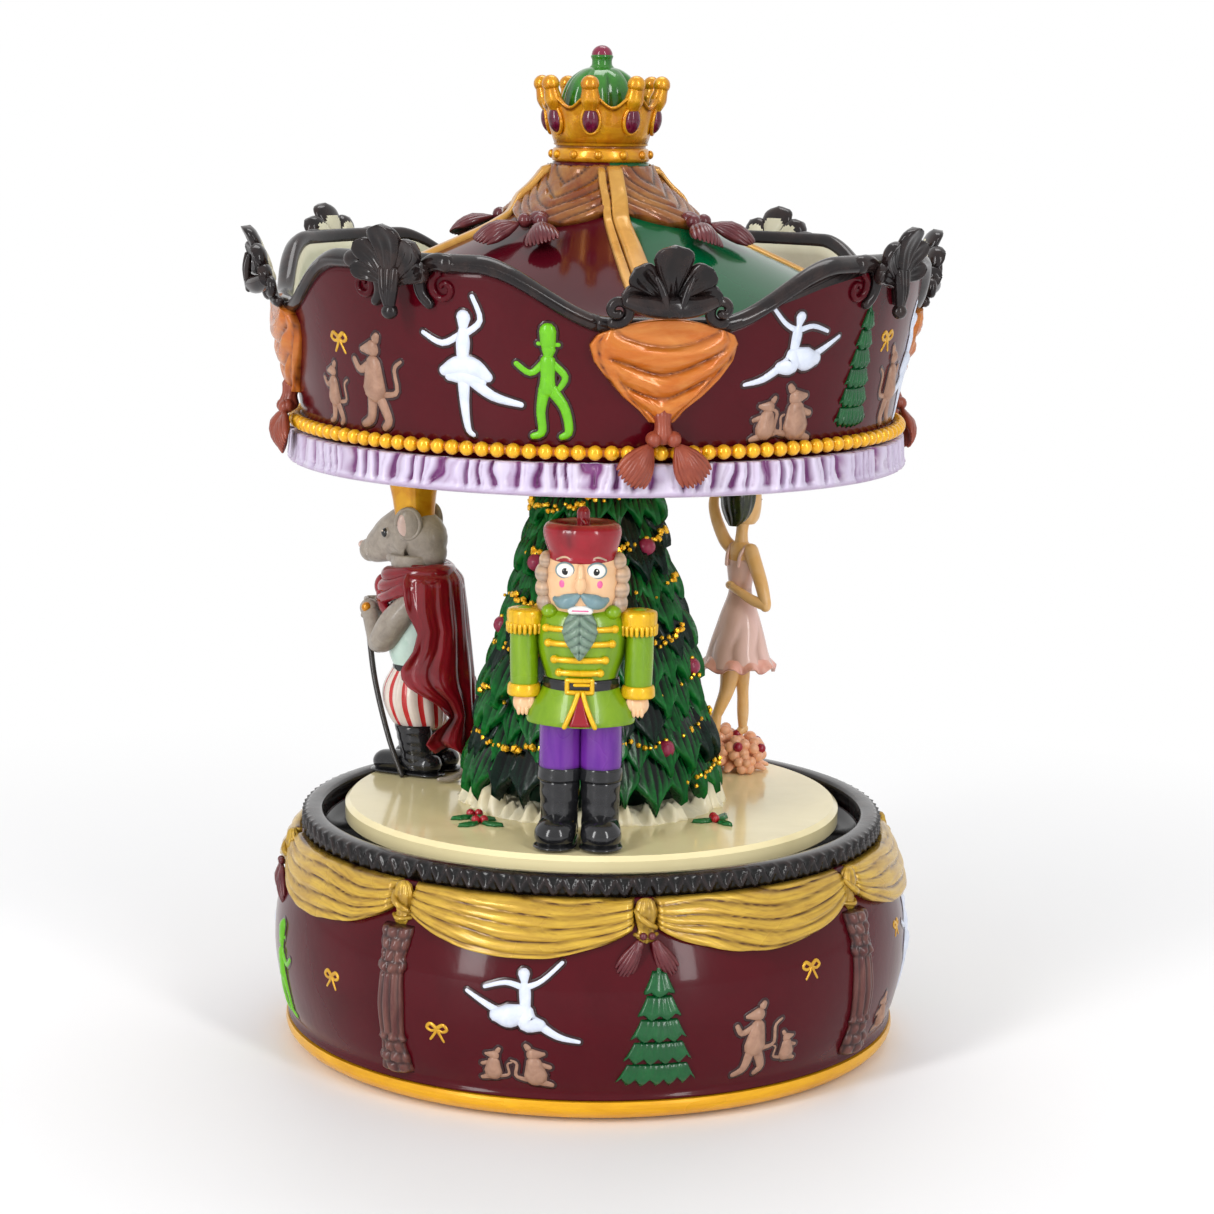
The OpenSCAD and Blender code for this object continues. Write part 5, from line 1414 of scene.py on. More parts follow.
class CAROUSEL_OT_platform(bpy.types.Operator):
    """Enamel the platform and heap the snow round the foot of the tree"""

    bl_idname = "carousel.platform"
    bl_label = "Platform and snow"

    def execute(self, context):
        dress("cream_enamel", "platform")
        dress("brass", "post_sleeve", "spindle_bush", "drive_hub", "spindle_pinion", "thrust_washer")
        bm = blank()

        def heap(u, v):
            x, y = cos(TAU * u), sin(TAU * u)
            turn = 360 * u
            rough_edge = 1.2 * jitter(5 * x, 5 * y, 2) + hills(31 * u + 1.5 * jitter(3 * x, 3 * y), 1)
            rim = SNOW_R + rough_edge
            if v < 0.5:
                r = mix(SPINDLE_R, rim, v / 0.5)
                t = clamp((r - 22) / (rim - 22))
                lump = 0.5 * jitter(r * 0.7 * x, r * 0.7 * y, 1) + 0.35 * jitter(r * 1.9 * x, r * 1.9 * y, 5)
                spike = max(0, jitter(14 * x, 14 * y, 9) + 0.05)
                spike *= ease((r - 24.4) / 1.6) * ease((rim + 0.2 - r) / 2.2)
                z = STAGE + mix(2.2 + lump, 0, ease(t) if r > 22 else 0) + 8.5 * spike
            else:
                r = mix(rim - 0.2, SPINDLE_R, (v - 0.5) / 0.5)
                z = STAGE - 0.15
            return (*polar(r, turn, z), 0.15 * (v < 0.5))

        sheet(bm, heap, 260, 90)
        make_piece("snow_heap", bm, ["snow_cream"], "carousel", "snow_paint", ["snow_mound"])

        bm = blank()

        def leaf(u, v):
            side = 2 * u - 1
            vein = abs(side) < 0.2
            half = 1.35 * sin(pi * clamp(0.06 + 0.9 * v)) * (0.72 + 0.28 * abs(cos(3 * pi * v)))
            up = 0.02 if at_edge(u, v) else 0.3 + 0.5 * (1 - side * side) - 0.3 * vein
            return (0.4 + 5.2 * v, side * half, up, 0.4 * vein)

        for turn, r in ((-48, 33.5), (-40, 36.5), (50, 35), (180, 36)):
            spot = stand_at(turn, r, STAGE + 0.1)
            for a in (15, 150, 255):
                carry(sheet(bm, leaf, 10, 14), spot @ Matrix.Rotation(radians(a), 4, "Z"))
            for a in (80, 205):
                p = Matrix.Rotation(radians(a), 4, "Z") @ Vector((1, 0, 0.8))
                carry(ball(bm, p, 0.95, 1, 14), spot)
        make_piece("holly", bm, ["holly_leaf", "holly_berry"],
                   "carousel", "holly_green", ["holly_sprigs"], weld=0.001)
        return {"FINISHED"}


def fir_leaf(bm, turn, z, r, length, half, droop, paint_index, seed):
    """One drooping leaf of brushed needles, hung with its stalk on the tree's core."""

    def place(u, v):
        side = 2 * u - 1
        belly = sin(pi * clamp(0.2 + 0.6 * v)) ** 0.7
        tip = 1 - 0.9 * ease((v - 0.5) / 0.5)
        needles = hills(2.5 * side + 0.5 * seed + 1.2 * side * v, 0.6)
        x = side * half * belly * max(tip, 0.1) + 0.5 * jitter(seed, v * 2)
        arch = sin(pi * (0.5 * v + 0.07))
        out = r - CORE_INSET + (5 + droop) * arch - 1.5 * side * side + 0.5 * (abs(side) < 0.12)
        out += -0.9 if at_edge(u, v) else needles
        ragged = 0.9 * (needles - 0.5) * ease((v - 0.3) / 0.6)
        down = 2.6 - length * v + 1.4 * side * side * v + ragged
        # The fourth value is painted shade between the needles and at the stalk, under the leaf above, fading towards
        # the tip
        return (x, -out, down, 0.85 * (1 - needles) ** 1.2 + 0.9 * (1 - v) ** 1.5 - 0.3 * needles * v)

    lean = Matrix.Rotation(0.2 * jitter(seed, 9.1), 4, "Y")
    spot = Matrix.Rotation(radians(turn), 4, "Z") @ Matrix.Translation((0, 0, z))
    carry(sheet(bm, place, 12, 10, paint_index), spot @ lean)


class CAROUSEL_OT_tree(bpy.types.Operator):
    """Grow the fir tree from rows of drooping leaves, some in painted shade, over a core in painted shade"""

    bl_idname = "carousel.tree"
    bl_label = "Fir tree"

    def execute(self, context):
        rows = sizes().leaf_rows
        bm = blank()
        core = [(SPINDLE_R, TREE_FOOT - 0.5)]
        core += [(tree_r(z) - CORE_INSET, z) for z in (TREE_FOOT - 0.5, 62, 72, 84, 98, 112, TREE_TOP)]
        core += [(SPINDLE_R, TREE_TOP), core[0]]
        # The core is painted in shaded fir green, as painted shade between the leaves
        lathe(bm, core, 48, 1)
        for k in range(rows):
            t = k / (rows - 1)
            z = mix(TREE_FOOT + 11.2, TREE_TOP + 3.5, t ** 0.95)
            r = tree_r(z - 5)
            half = mix(5, 3.4, t)
            count = max(9, round(TAU * r / (1.35 * half)))
            for i in range(count):
                seed = 17 * k + i
                wild = Vector((jitter(seed, 3.1), jitter(seed, 7.7), jitter(1.3, seed)))
                turn = 360 / count * (i + 0.5 * (k % 2) + 0.25 * wild.x)
                # Leaves picked at random are painted in shaded fir green, as painted shade among the leaves
                dark = jitter(seed * 0.37, 4.4) > 0.16
                fir_leaf(bm, turn, z + 2.4 * wild.y, r + 1.6 * wild.z, mix(14.5, 10.5, t) + 3 * wild.x,
                         half * (1 + 0.3 * wild.z), mix(2.2, 1.2, t) + 1.2 * wild.y, 1 if dark else 0, seed)
        for v in bm.verts:
            if v.co.z > TREE_TOP:
                v.co.z = TREE_TOP
        make_piece("fir_tree", bm, ["fir_green", "fir_shaded"], "carousel", "tree_green", ["tree"], weld=0.0005)
        return {"FINISHED"}


class CAROUSEL_OT_tree_trims(bpy.types.Operator):
    """Drape the gold glitter garland and hang the baubles on the tree"""

    bl_idname = "carousel.tree_trims"
    bl_label = "Garland and baubles"

    def execute(self, context):
        bm = blank()
        for i in range(GARLAND_GRAINS):
            t = i / GARLAND_GRAINS
            turn = 360 * GARLAND_TURNS * t
            z = mix(60, 125, t) - 1.6 * abs(sin(radians(turn * 2.5)))
            cluster = jitter(turn * 0.05, 1.5) + 0.15
            if cluster < 0 and i % 5:
                continue
            x = jitter(i * 0.73, 2.2)
            y = jitter(3.3, i * 0.91)
            size = 0.42 + 0.36 * abs(jitter(i * 0.57, 8.8)) + 0.5 * max(0, cluster)
            r = tree_r(z) + 1.7 + 0.9 * jitter(i * 0.31, 6.6)
            spot = polar(r, turn + 4 * x, z + 1.9 * y)
            place = Matrix.Translation(spot) @ Matrix.Rotation(i * 1.3, 4, "X")
            grain = bmesh.ops.create_icosphere(bm, subdivisions=1, radius=size, matrix=place)
            for f in faces_of(grain["verts"]):
                f.smooth = False
        make_piece("gold_garland", bm, ["glitter_gold"], "carousel", "gold_glitter", ["tree_garland"],
                   weld=0.0001)

        bm = blank()
        amount = sizes().bauble_count
        for i in range(amount):
            z = mix(66, 112, (i + 0.5) / amount)
            turn = i * 99 + 38
            verts = ball(bm, (0, 0, 0), 1.95, 0, 22)
            for v in verts:
                v.co *= 1 + 0.06 * jitter(v.co.x * 1.8 + i, v.co.y * 1.8, v.co.z * 1.8)
            hang = Matrix.Translation(polar(tree_r(z) + 1, turn, z))
            carry(verts, hang)
            carry(ball(bm, (0, 0, 1.9), (0.6, 0.6, 0.5), 1, 10), hang)
        make_piece("baubles", bm, ["bauble_wine", "glitter_gold"], "carousel", "bauble_red", ["tree_baubles"],
                   weld=0.001)
        return {"FINISHED"}


# ---------------------------------------------------------------- figures


def stack(bm, rows, paint=0, around=32, steps=None, at=(0, 0), shape=None):
    """Closed solid through rows of (height, half width, half depth, depth of centre), low to high."""
    line = smooth_line(rows, steps or 4 * (len(rows) - 1))
    line = [(line[0][0], 0.02, 0.02, line[0][3])] + line + [(line[-1][0], 0.02, 0.02, line[-1][3])]

    def place(u, v):
        k = round(v * (len(line) - 1))
        z, wide, deep, mid = line[k]
        a = TAU * u
        grow, wash = shape(u, z) if shape and 0 < k < len(line) - 1 else (1, 0)
        return (at[0] + wide * grow * sin(a), at[1] + mid - deep * grow * cos(a), z, wash)

    return sheet(bm, place, around, len(line) - 1, paint)


def front_of(rows, x, z, out=0):
    """Depth of the front of a stack at a height and distance across, a little outside it."""
    wide = along([(r[0], r[1]) for r in rows], z) + out
    deep = along([(r[0], r[2]) for r in rows], z) + out
    mid = along([(r[0], r[3]) for r in rows], z)
    return mid - deep * sqrt(max(0.02, 1 - (x / wide) ** 2))


def lay_on(rows, line, out):
    """Joints of a limb that lies on the front of a stack, from a line of (across, height, radius)."""
    return [(x, front_of(rows, x, z, out), z, r) for x, z, r in line]


TORSO = ((33.4, 7.3, 6, 0.6), (36, 7.7, 6.3, 0.6), (41, 9.1, 6.9, 0.6), (46, 9.3, 6.9, 0.6),
         (48.8, 8.5, 6.2, 0.8), (50.6, 6.2, 4.6, 1))
SKIRT = ((26.2, 11, 8.6, 0.6), (27.2, 11.1, 8.7, 0.6), (30, 10.2, 8.1, 0.6), (33, 8.2, 6.8, 0.6),
         (34.6, 7.3, 6.1, 0.6))
HEAD = ((48.4, 5.6, 5, 0.6), (50.4, 7, 6.2, 0.6), (54, 7.6, 6.8, 0.6), (58, 7.5, 6.7, 0.6),
        (61.6, 6.8, 6, 0.6))


def plant(bm, turn, name, paints, slot, node):
    spot = stand_at(turn, FIGURE_RING, STAGE)
    for v in bm.verts:
        v.co.z = max(v.co.z, 0.02)
        v.co = spot @ v.co
    make_piece(name, bm, paints, "carousel", slot, [node], weld=0.0005)


class CAROUSEL_OT_soldier(bpy.types.Operator):
    """Model the toy soldier with its coat, braid, beard and hat"""

    bl_idname = "carousel.soldier"
    bl_label = "Toy soldier"

    def execute(self, context):
        black, purple, lime, red, gold, skin, hair, white, pink, grey, beard, pupil = range(12)
        paints = ["boot_black", "violet_cloth", "coat_lime", "hat_red", "braid_gold", "face_peach",
                  "curl_grey", "enamel_white", "cheek_pink", "moustache_grey", "beard_green", "pupil_black"]
        bm = blank()
        for side in (-1, 1):
            x = 4.25 * side
            boot = [(2.6, 4, 4.4, 1), (6, 3.9, 4.1, 1), (9, 4, 4.1, 1), (13, 4.2, 4.3, 1), (13.6, 4, 4.1, 1),
                    (14, 4.6, 4.7, 1), (16.2, 4.5, 4.6, 1), (16.5, 4.2, 4.3, 1)]
            stack(bm, boot, black, 36, 40, (x, 0), lambda u, z: (1 + 0.012 * sin(2 * z + TAU * u), 0))
            limb(bm, [(x, 3.4, 3.4, 3.6), (1.06 * x, -0.6, 3.5, 4), (1.12 * x, -4.4, 3.2, 4.1)], black, 28,
                 flat=(1.04, 0.86), ends=8)
            limb(bm, [(x, 3.6, 0.8, 4), (1.12 * x, -4.4, 0.8, 4.5)], black, 28, flat=(1, 0.2), ends=8)
            leg = [(15.2, 4.2, 4.4, 1), (17.4, 4.35, 4.5, 1), (22, 4.3, 4.5, 0.9), (28, 4.3, 4.5, 0.8)]
            # The trousers' shape paints shade at their foot, where they go into the boots
            stack(bm, leg, purple, 36, 20, (4.2 * side, 0), lambda u, z: (
                1 + 0.02 * sin(TAU * 7 * u) * ease((18.4 - z) / 2), 0.7 * ease((17.6 - z) / 1.6)))
            arm = [(11.8 * side, 0.4, 47, 2.9), (11.8 * side, 0.2, 40, 2.95), (11.7 * side, 0, 34, 2.85)]
            limb(bm, arm, lime, 28)
            cuff = [(31.4, 3.25, 3.25, 0), (31.9, 3.5, 3.5, 0), (33.4, 3.4, 3.4, 0), (33.9, 3.1, 3.1, 0)]
            stack(bm, cuff, gold, 32, 12, (11.7 * side, 0))
            ball(bm, (11.5 * side, -0.2, 29.9), (2.5, 2.3, 2.5), skin, 24)
            ball(bm, (10.2 * side, -1.6, 30.2), (0.9, 0.8, 1.6), skin, 14)
            for f in range(3):
                ball(bm, ((11 + 0.8 * f) * side, -1.9, 28.6), (0.5, 0.6, 1.2), skin, 12)
            pad = [(45.6, 3.5, 3.5, 0.4), (46.4, 3.9, 3.9, 0.4), (48.4, 4, 4, 0.4), (49.2, 3.7, 3.7, 0.4),
                   (49.5, 2.6, 2.6, 0.4)]
            # Painted shade in the grooves of the epaulettes
            stack(bm, pad, gold, 36, 20, (11.4 * side, 0), lambda u, z: (
                1 + 0.015 * cos(TAU * 18 * u), 0.3 * (1 - hills(18 * u))))
            for k in range(22):
                a = TAU * k / 22
                px, py = 11.4 * side + 3.75 * sin(a), 0.4 - 3.75 * cos(a)
                fringe = [(px, py, 46.4, 0.5), (px, py, 44.6 + 0.3 * jitter(k, side), 0.4)]
                limb(bm, fringe, gold, 6, 2, ends=1)
        # Painted shade on the coat's flanks beside the arms and at its foot under the belt
        stack(bm, TORSO, lime, 56, 30, shape=lambda u, z: (
            1 + 0.012 * cos(TAU * 2 * u), 0.75 * ease((abs(sin(TAU * u)) - 0.84) / 0.12)
            + 0.3 * ease((35 - z) / 1.5)))
        # Painted shade at the top of the coat's skirt, under the belt
        stack(bm, SKIRT, lime, 64, 26, shape=lambda u, z: (
            1 + 0.02 * cos(TAU * 5 * u) * ease((33 - z) / 5), 0.5 * ease((z - 32.6) / 1.6)))
        stack(bm, [(33.2, 7.5, 6.4, 0.6), (33.5, 7.9, 6.7, 0.6), (35.2, 7.9, 6.7, 0.6),
                   (35.6, 7.5, 6.4, 0.6)], black, 56, 10)

        def inset(u, v):
            side = 2 * u - 1
            z = mix(33, 26.15, v)
            x = 0.3 + side * mix(0.35, 2.7, v ** 1.2)
            return (x, front_of(SKIRT, x, z, -0.3 if at_edge(u, v) else 0.75), z, 0.2)

        sheet(bm, inset, 10, 12, red)
        for side in (-1, 1):
            trim = []
            for s in range(9):
                t = s / 8
                z = mix(33.2, 26.5, t)
                x = 0.3 + side * mix(0.5, 3.1, t ** 1.2)
                trim.append((x, front_of(SKIRT, x, z, 0.7), z, 0.52))
            limb(bm, trim, gold, 10, 20)
            for f in (-1, 1):
                ball(bm, (side * 6.4, -2.8, 49.4), (1.8, 1.9, 1.5), lime, 20)
        frame_line = [(-2.5, 33.2), (-2.5, 35.7), (2.6, 35.7), (2.6, 33.2), (-2.5, 33.2)]
        for (x0, z0), (x1, z1) in zip(frame_line, frame_line[1:]):
            bar = []
            for s in range(5):
                x = mix(x0, x1, s / 4)
                bar.append((x, front_of(TORSO, x, 35, 0.75), mix(z0, z1, s / 4), 0.5))
            limb(bm, bar, gold, 10, 8)
        tongue = [(-0.9, front_of(TORSO, 0, 35, 0.8), 34.8, 0.36),
                  (1.9, front_of(TORSO, 1.9, 35, 0.8), 34.8, 0.36)]
        limb(bm, tongue, gold, 8)

        braid = 1000 * sizes().stitch / 2
        for z, half in ((46.2, 7), (43.2, 6.5), (39.9, 5.2), (37.2, 4.2)):
            bar = lay_on(TORSO, [(half * s / 6, z, braid + 0.18) for s in range(-6, 7)], 0.45)
            limb(bm, bar, gold, 12, 28)
            for side in (-1, 1):
                x = half * side
                ball(bm, (x, front_of(TORSO, x, z, 0.55), z), 0.86, gold, 14)

        # Painted shade at the top of the head under the hat and at its foot under the beard
        stack(bm, HEAD, skin, 48, 30, shape=lambda u, z: (
            1, 0.2 * ease((z - 60) / 1.5) + 0.25 * ease(49.6 - z)))
        for side in (-1, 1):
            for x, y, z, r in ((7.3, 0.2, 59.4, 1.9), (7.9, 0.4, 56.7, 2.2), (7.8, 0.2, 53.7, 2.2),
                               (7.4, 0.2, 50.8, 2.3)):
                verts = ball(bm, (side * x, y, z), (0.85 * r, 1.5 * r, r), hair, 22)
                # Painted shade in the grooves of each curl
                layer = wash_layer(bm)
                for v in verts:
                    v[layer] = 0.5 * (1 - hills(atan2(v.co.z - z, v.co.y - y) * 1.6))
            x = 3.2 * side
            y = front_of(HEAD, x, 58.2, 0)
            lay = (0, 0, side * 14)
            ball(bm, (x, y + 0.15, 58.2), (2.15, 0.7, 1.75), grey, 28, turn=lay)
            ball(bm, (x, y - 0.05, 58.2), (1.85, 0.75, 1.5), white, 28, turn=lay)
            ball(bm, (x - 0.15 * side, y - 0.62, 58.1), (0.8, 0.34, 0.78), pupil, 20)
            # Painted glint: a small white dot on each pupil
            ball(bm, (x - 0.15 * side + 0.28, y - 0.9, 58.4), 0.2, white, 10)
            x = 3.6 * side
            ball(bm, (x, front_of(HEAD, x, 55.4, -0.28), 55.4), (0.85, 0.5, 1.05), pink, 20, turn=lay)
            tache = [(0.5, 53.2, 0.6), (1.5, 52.5, 1.25), (2.7, 51.9, 1.6), (4, 51.7, 1.3), (5.2, 52.1, 0.6)]
            limb(bm, lay_on(HEAD, [(side * x, z, r) for x, z, r in tache], 0.1), grey, 18, 22,
                 flute=lambda u, v: 1 + 0.07 * cos(TAU * 6 * u))
            brow = [(1.6, 60.3, 0.25), (3.2, 60.9, 0.4), (4.9, 60.2, 0.25)]
            limb(bm, lay_on(HEAD, [(side * x, z, r) for x, z, r in brow], 0.05), hair, 10)
        ball(bm, (0, 3.4, 56), (8, 5, 6.6), hair, 40)
        ball(bm, (0, front_of(HEAD, 0, 55.6, 0.3), 55.4), (1.25, 1.3, 1.9), skin, 24)
        bridge = [(0, front_of(HEAD, 0, 58, 0.1), 59, 0.6), (0, front_of(HEAD, 0, 56, 0.5), 56, 0.8)]
        limb(bm, bridge, skin, 16)
        for half, out, r, colour, around in ((1.7, 0.35, 0.95, white, 16), (1.6, 1.2, 0.16, pink, 8)):
            y = front_of(HEAD, half, 50.2, out)
            limb(bm, [(-half, y, 50.1, r), (half, y, 50.1, r)], colour, around)

        widths = ((0, 2.3), (0.15, 3.3), (0.36, 3.9), (0.6, 3.1), (0.82, 1.6), (1, 0.3))

        def whiskers(u, v):
            side = 2 * u - 1
            half = along(widths, v)
            z = mix(49.4, 39.9, v)
            lock = hills(0.52 * (9.5 * v - 1.9 * abs(side) * half * 0.5) + 0.5 * abs(side), 0.6)
            split = ease((0.14 - abs(side)) / 0.14)
            out = -0.5 if at_edge(u, v) else 0.6 + 0.9 * (1 - side * side) + 0.5 * lock - 0.3 * split
            x = side * half
            ground = mix(front_of(HEAD, x, 50, 0), front_of(TORSO, x, 46, 0), ease(v * 2.5))
            # The fourth value is painted shade between the locks and in the beard's parting
            return (x, ground - out, z, 0.9 * (1 - lock) + 0.4 * split)

        sheet(bm, whiskers, 30, 36, beard)
        hat = [(59.4, 6.9, 6.2, 0.6), (60, 7.2, 6.5, 0.6), (61.2, 7.2, 6.5, 0.6), (63.4, 7.9, 7.2, 0.5),
               (65.4, 8.3, 7.6, 0.5), (66.8, 7.9, 7.3, 0.5), (67.4, 6.6, 6, 0.6), (67.2, 4.2, 3.8, 0.7),
               (67, 1.5, 1.4, 0.7)]

        def pillow(u, z):
            a = TAU * u
            crease = hills(3 * u + 0.15, 0.5)
            swell = ease((z - 60.2) / 4)
            # Painted shade in the hat's creases and at its foot
            return (1 + 0.02 * cos(2 * a) - 0.07 * (1 - crease) * swell,
                    0.6 * (1 - crease) * swell + 0.3 * ease((60.2 - z) / 0.6))

        stack(bm, hat, red, 60, 40, shape=pillow)
        limb(bm, [(0, 0.6, 66.8, 1.35), (0, 0.6, 69.2, 1.35)], red, 24, ends=6)
        limb(bm, [(0.8, -3, 67.5, 0.4), (0.2, -0.8, 67.8, 0.5)], red, 10)
        plant(bm, SOLDIER_TURN, "toy_soldier", paints, "soldier_paint", "soldier_figure")
        return {"FINISHED"}


class CAROUSEL_OT_mouse(bpy.types.Operator):
    """Model the mouse in its cloak, with a walking stick"""

    bl_idname = "carousel.mouse"
    bl_label = "Mouse"

    def execute(self, context):
        fur, cloak, mint, black, white, red, gold, pink, pupil, wood = range(10)
        paints = ["mouse_fur", "cloak_red", "mint_cloth", "boot_black", "breeches_cream", "stripe_red",
                  "cap_gold", "ear_pink", "pupil_black", "stick_dark"]
        bm = blank()
        for side in (-1, 1):
            x = 3.7 * side
            shin = [(1.5, 3.4, 3.8, 0.6), (5, 3.5, 3.9, 0.4), (11.5, 3.9, 4.4, -0.6)]
            stack(bm, shin, black, 28, 20, (x, 0), lambda u, z: (1 + 0.02 * sin(3 * z + TAU * u), 0))
            limb(bm, [(x, 3.6, 2.8, 3), (1.1 * x, -2, 2.8, 3.1), (1.2 * x, -7.4, 2.5, 3)], black, 24,
                 flat=(1.05, 0.85), ends=6)
            limb(bm, [(x, 4, 0.6, 3.4), (1.2 * x, -7.6, 0.6, 3.4)], black, 24, flat=(1, 0.18), ends=6)
        breeches = [(10.2, 4.6, 4.6, -0.8), (11.6, 6.2, 6, -1.4), (16, 7.6, 7, -2.4), (20, 7.4, 6.8, -2.6),
                    (23.6, 6, 5.4, -2.2), (24.6, 5.4, 4.9, -2)]
        # Painted shade in the breeches' grooves and at their foot above the boots
        verts = stack(bm, breeches, white, 72, 30, shape=lambda u, z: (
            1 + 0.03 * cos(TAU * 12 * u), 0.35 * (1 - hills(12 * u)) + 0.5 * ease(11.4 - z)))
        rows = [tuple((row[0], row[k]) for row in breeches) for k in (1, 2, 3)]
        for f in faces_of(verts):
            c = f.calc_center_median()
            wide, deep, mid = (along(table, c.z) for table in rows)
            turn = atan2(c.x / wide, (mid - c.y) / deep)
            if abs(((turn / TAU * 12) % 1) - 0.5) < 0.13 and 10.6 < c.z < 24.2:
                f.material_index = red
        stack(bm, [(23.6, 5.8, 5.2, -2), (24.6, 6, 5.4, -2), (25.2, 5.8, 5.2, -2)], black, 40, 8)
        body = [(24.6, 5.6, 5.2, -2), (28, 6.3, 6, -2.4), (34, 6.6, 6.2, -2.2), (40, 6.2, 5.6, -1.6),
                (45, 4.8, 4.6, -1.8)]
        stack(bm, body, mint, 48, 30, shape=lambda u, z: (
            1, 0.4 * ease((0.05 - abs(u)) / 0.05) + 0.4 * ease((u - 0.95) / 0.05)))
        for z in (27.6, 30.4, 33.2):
            ball(bm, (0, front_of(body, 0, z, 0.1), z), 0.55, gold, 12)

        neck = [(42, 4.9, 4.8, -1.8), (46, 5.3, 5.4, -2.4), (50, 5.6, 5.8, -2.6)]
        stack(bm, neck, fur, 36, 16)
        skull = [(0, 0.8, 50.6, 4.2), (0, -0.6, 53.6, 5.7), (0, -4.2, 54.4, 6.2), (0, -8, 53.4, 5.1),
                 (0, -11, 51.7, 4.1), (0, -13.4, 50.4, 3.2), (0, -14.8, 49.9, 2.5)]
        limb(bm, skull, fur, 40, 30, flat=(0.92, 1.08), ends=7)
        ball(bm, (0, -6, 50.2), (3.6, 4.6, 2.6), fur, 28, turn=(14, 0, 0))
        ball(bm, (0, -17, 51), (1.1, 0.8, 0.9), pink, 16)
        limb(bm, [(0, -8.4, 49.2, 1.6), (0, -11, 49.6, 1.1), (0, -12.4, 49.8, 0.6)], fur, 18)
        limb(bm, [(-1.2, -11.2, 50.3, 0.35), (0, -12.6, 50.5, 0.35), (1.2, -11.2, 50.3, 0.35)], pupil, 8)
        for side in (-1, 1):
            ball(bm, (4 * side, -7, 54.9), (1.6, 1.7, 1.6), fur, 20)
            ball(bm, (4.7 * side, -7.4, 55), (1.1, 1.15, 1.15), pupil, 20)
            # Painted glint: a small pale dot on each eye
            ball(bm, (5.65 * side, -7.8, 55.5), 0.22, white, 8)
            for k in range(3):
                limb(bm, [(1.6 * side, -14, 51 - 0.3 * k, 0.1), (3.2 * side, -13.6, 50.6 - 0.7 * k, 0.06)],
                     white, 6)
            tilt = (0, 0, side * 28)
            ball(bm, (5 * side, -0.8, 57.6), (1.1, 2.8, 3.7), fur, 28, turn=tilt)
            ball(bm, (5.75 * side, -1.5, 57.4), (0.7, 1.9, 2.7), pink, 24, turn=tilt)
            rim_line = []
            for s in range(15):
                a = radians(-120 + 300 * s / 14)
                rim_line.append((5.2 * side - 0.75 * side * cos(a) * 1.2, -1.2 + 2.6 * cos(a),
                                 57.5 + 3.3 * sin(a), 0.55))
            limb(bm, rim_line, fur, 10, 30)
            upper = [(5.8 * side, 0.6, 40.6, 2.6), (6.8 * side, -3.6, 35.4, 3.4),
                     (6.6 * side, -6.6, 31.4, 3.2), (6 * side, -8.4, 30.2, 2.6)]
            limb(bm, upper, fur, 26, 22, ends=5)
            fore = [(6 * side, -8.6, 30.6, 2.5), (4.2 * side, -11, 33.2, 2.1), (2.6 * side, -12.8, 35.4, 2)]
            limb(bm, fore, fur, 24, 18, ends=5)
            ball(bm, (1.9 * side, -13.8, 36.8), (2.1, 2.2, 2.2), fur, 24)
            for k in range(4):
                limb(bm, [(2.2 * side, -14.2 - 0.3 * k, 38.4 - 1.1 * k, 0.75),
                          (0.4 * side, -15.6, 38.6 - 1.1 * k, 0.6)], fur, 10)
        limb(bm, [(3.4, -13.2, 35.2, 0.7), (5.8, -9.8, 22, 0.66), (7.6, -4.8, 9, 0.64),
                  (8.4, -0.6, 0.6, 0.6)], wood, 14, 20)
        ball(bm, (3.3, -13.6, 37.2), (1.2, 1.2, 1.2), gold, 18)

        cap = [(57.6, 4.2, 4.2, -2.6), (58.6, 4.6, 4.6, -2.7), (62.5, 5, 5, -2.9), (66.4, 5.6, 5.6, -3.1),
               (67.2, 4.8, 4.8, -3.1), (67.4, 1, 1, -3.1)]
        # Painted shade in the grooves of the cap
        stack(bm, cap, gold, 40, 24, shape=lambda u, z: (
            1 + 0.03 * cos(TAU * 6 * u), 0.5 * (1 - hills(6 * u, 0.7)) * ease((z - 58) / 2)))

        wave = ((0, 96), (0.2, 86), (0.32, 72), (0.42, 78), (0.52, 94), (0.57, 94), (0.62, 84), (0.7, 52),
                (0.78, 38), (0.86, 58), (0.92, 66), (1, 46))
        depth = ((0, 4.4), (0.03, 6), (0.08, 7.6), (0.4, 8.6), (0.7, 9.6), (1, 10.4))
        width = ((0, 4.6), (0.03, 6.4), (0.08, 8.2), (0.3, 9), (0.6, 9.4), (1, 9.8))
        rows = 44

        def drape(u, v):
            k = round(v * (2 * rows))
            t = (k if k <= rows else 2 * rows - k) / rows
            side = 2 * u - 1
            reach = along(wave, clamp(t + 0.04 * side))
            a = radians(180 + side * reach)
            fold = hills(2.6 * side + 0.9 * t * abs(side) + 0.3, 0.9)
            fine = hills(7 * side + 2 * t, 0.9)
            swell = (0.3 + 0.7 * t) * fold + 0.12 * fine
            flare = 1.4 * ease((abs(side) - 0.86) / 0.14) * (0.4 + 0.6 * sin(9 * t) ** 2)
            thin = 0.8 * min(1, 6 * (1 - abs(side))) if k > rows else 0
            r_x = along(width, t) + swell + flare - thin
            r_y = along(depth, t) + swell + flare - thin
            z = 48.4 - 42.6 * t + 1.6 * ease((abs(side) - 0.3) / 0.6) * t
            z += 0.8 * sin(7 * side) * ease((t - 0.9) / 0.1)
            # The fourth value is painted shade in the grooves between the cloak's folds
            return (r_x * sin(a), 1.6 * t + 0.6 - r_y * cos(a), z, 0.8 * (1 - fold) ** 1.5 * (0.4 + 0.6 * t))

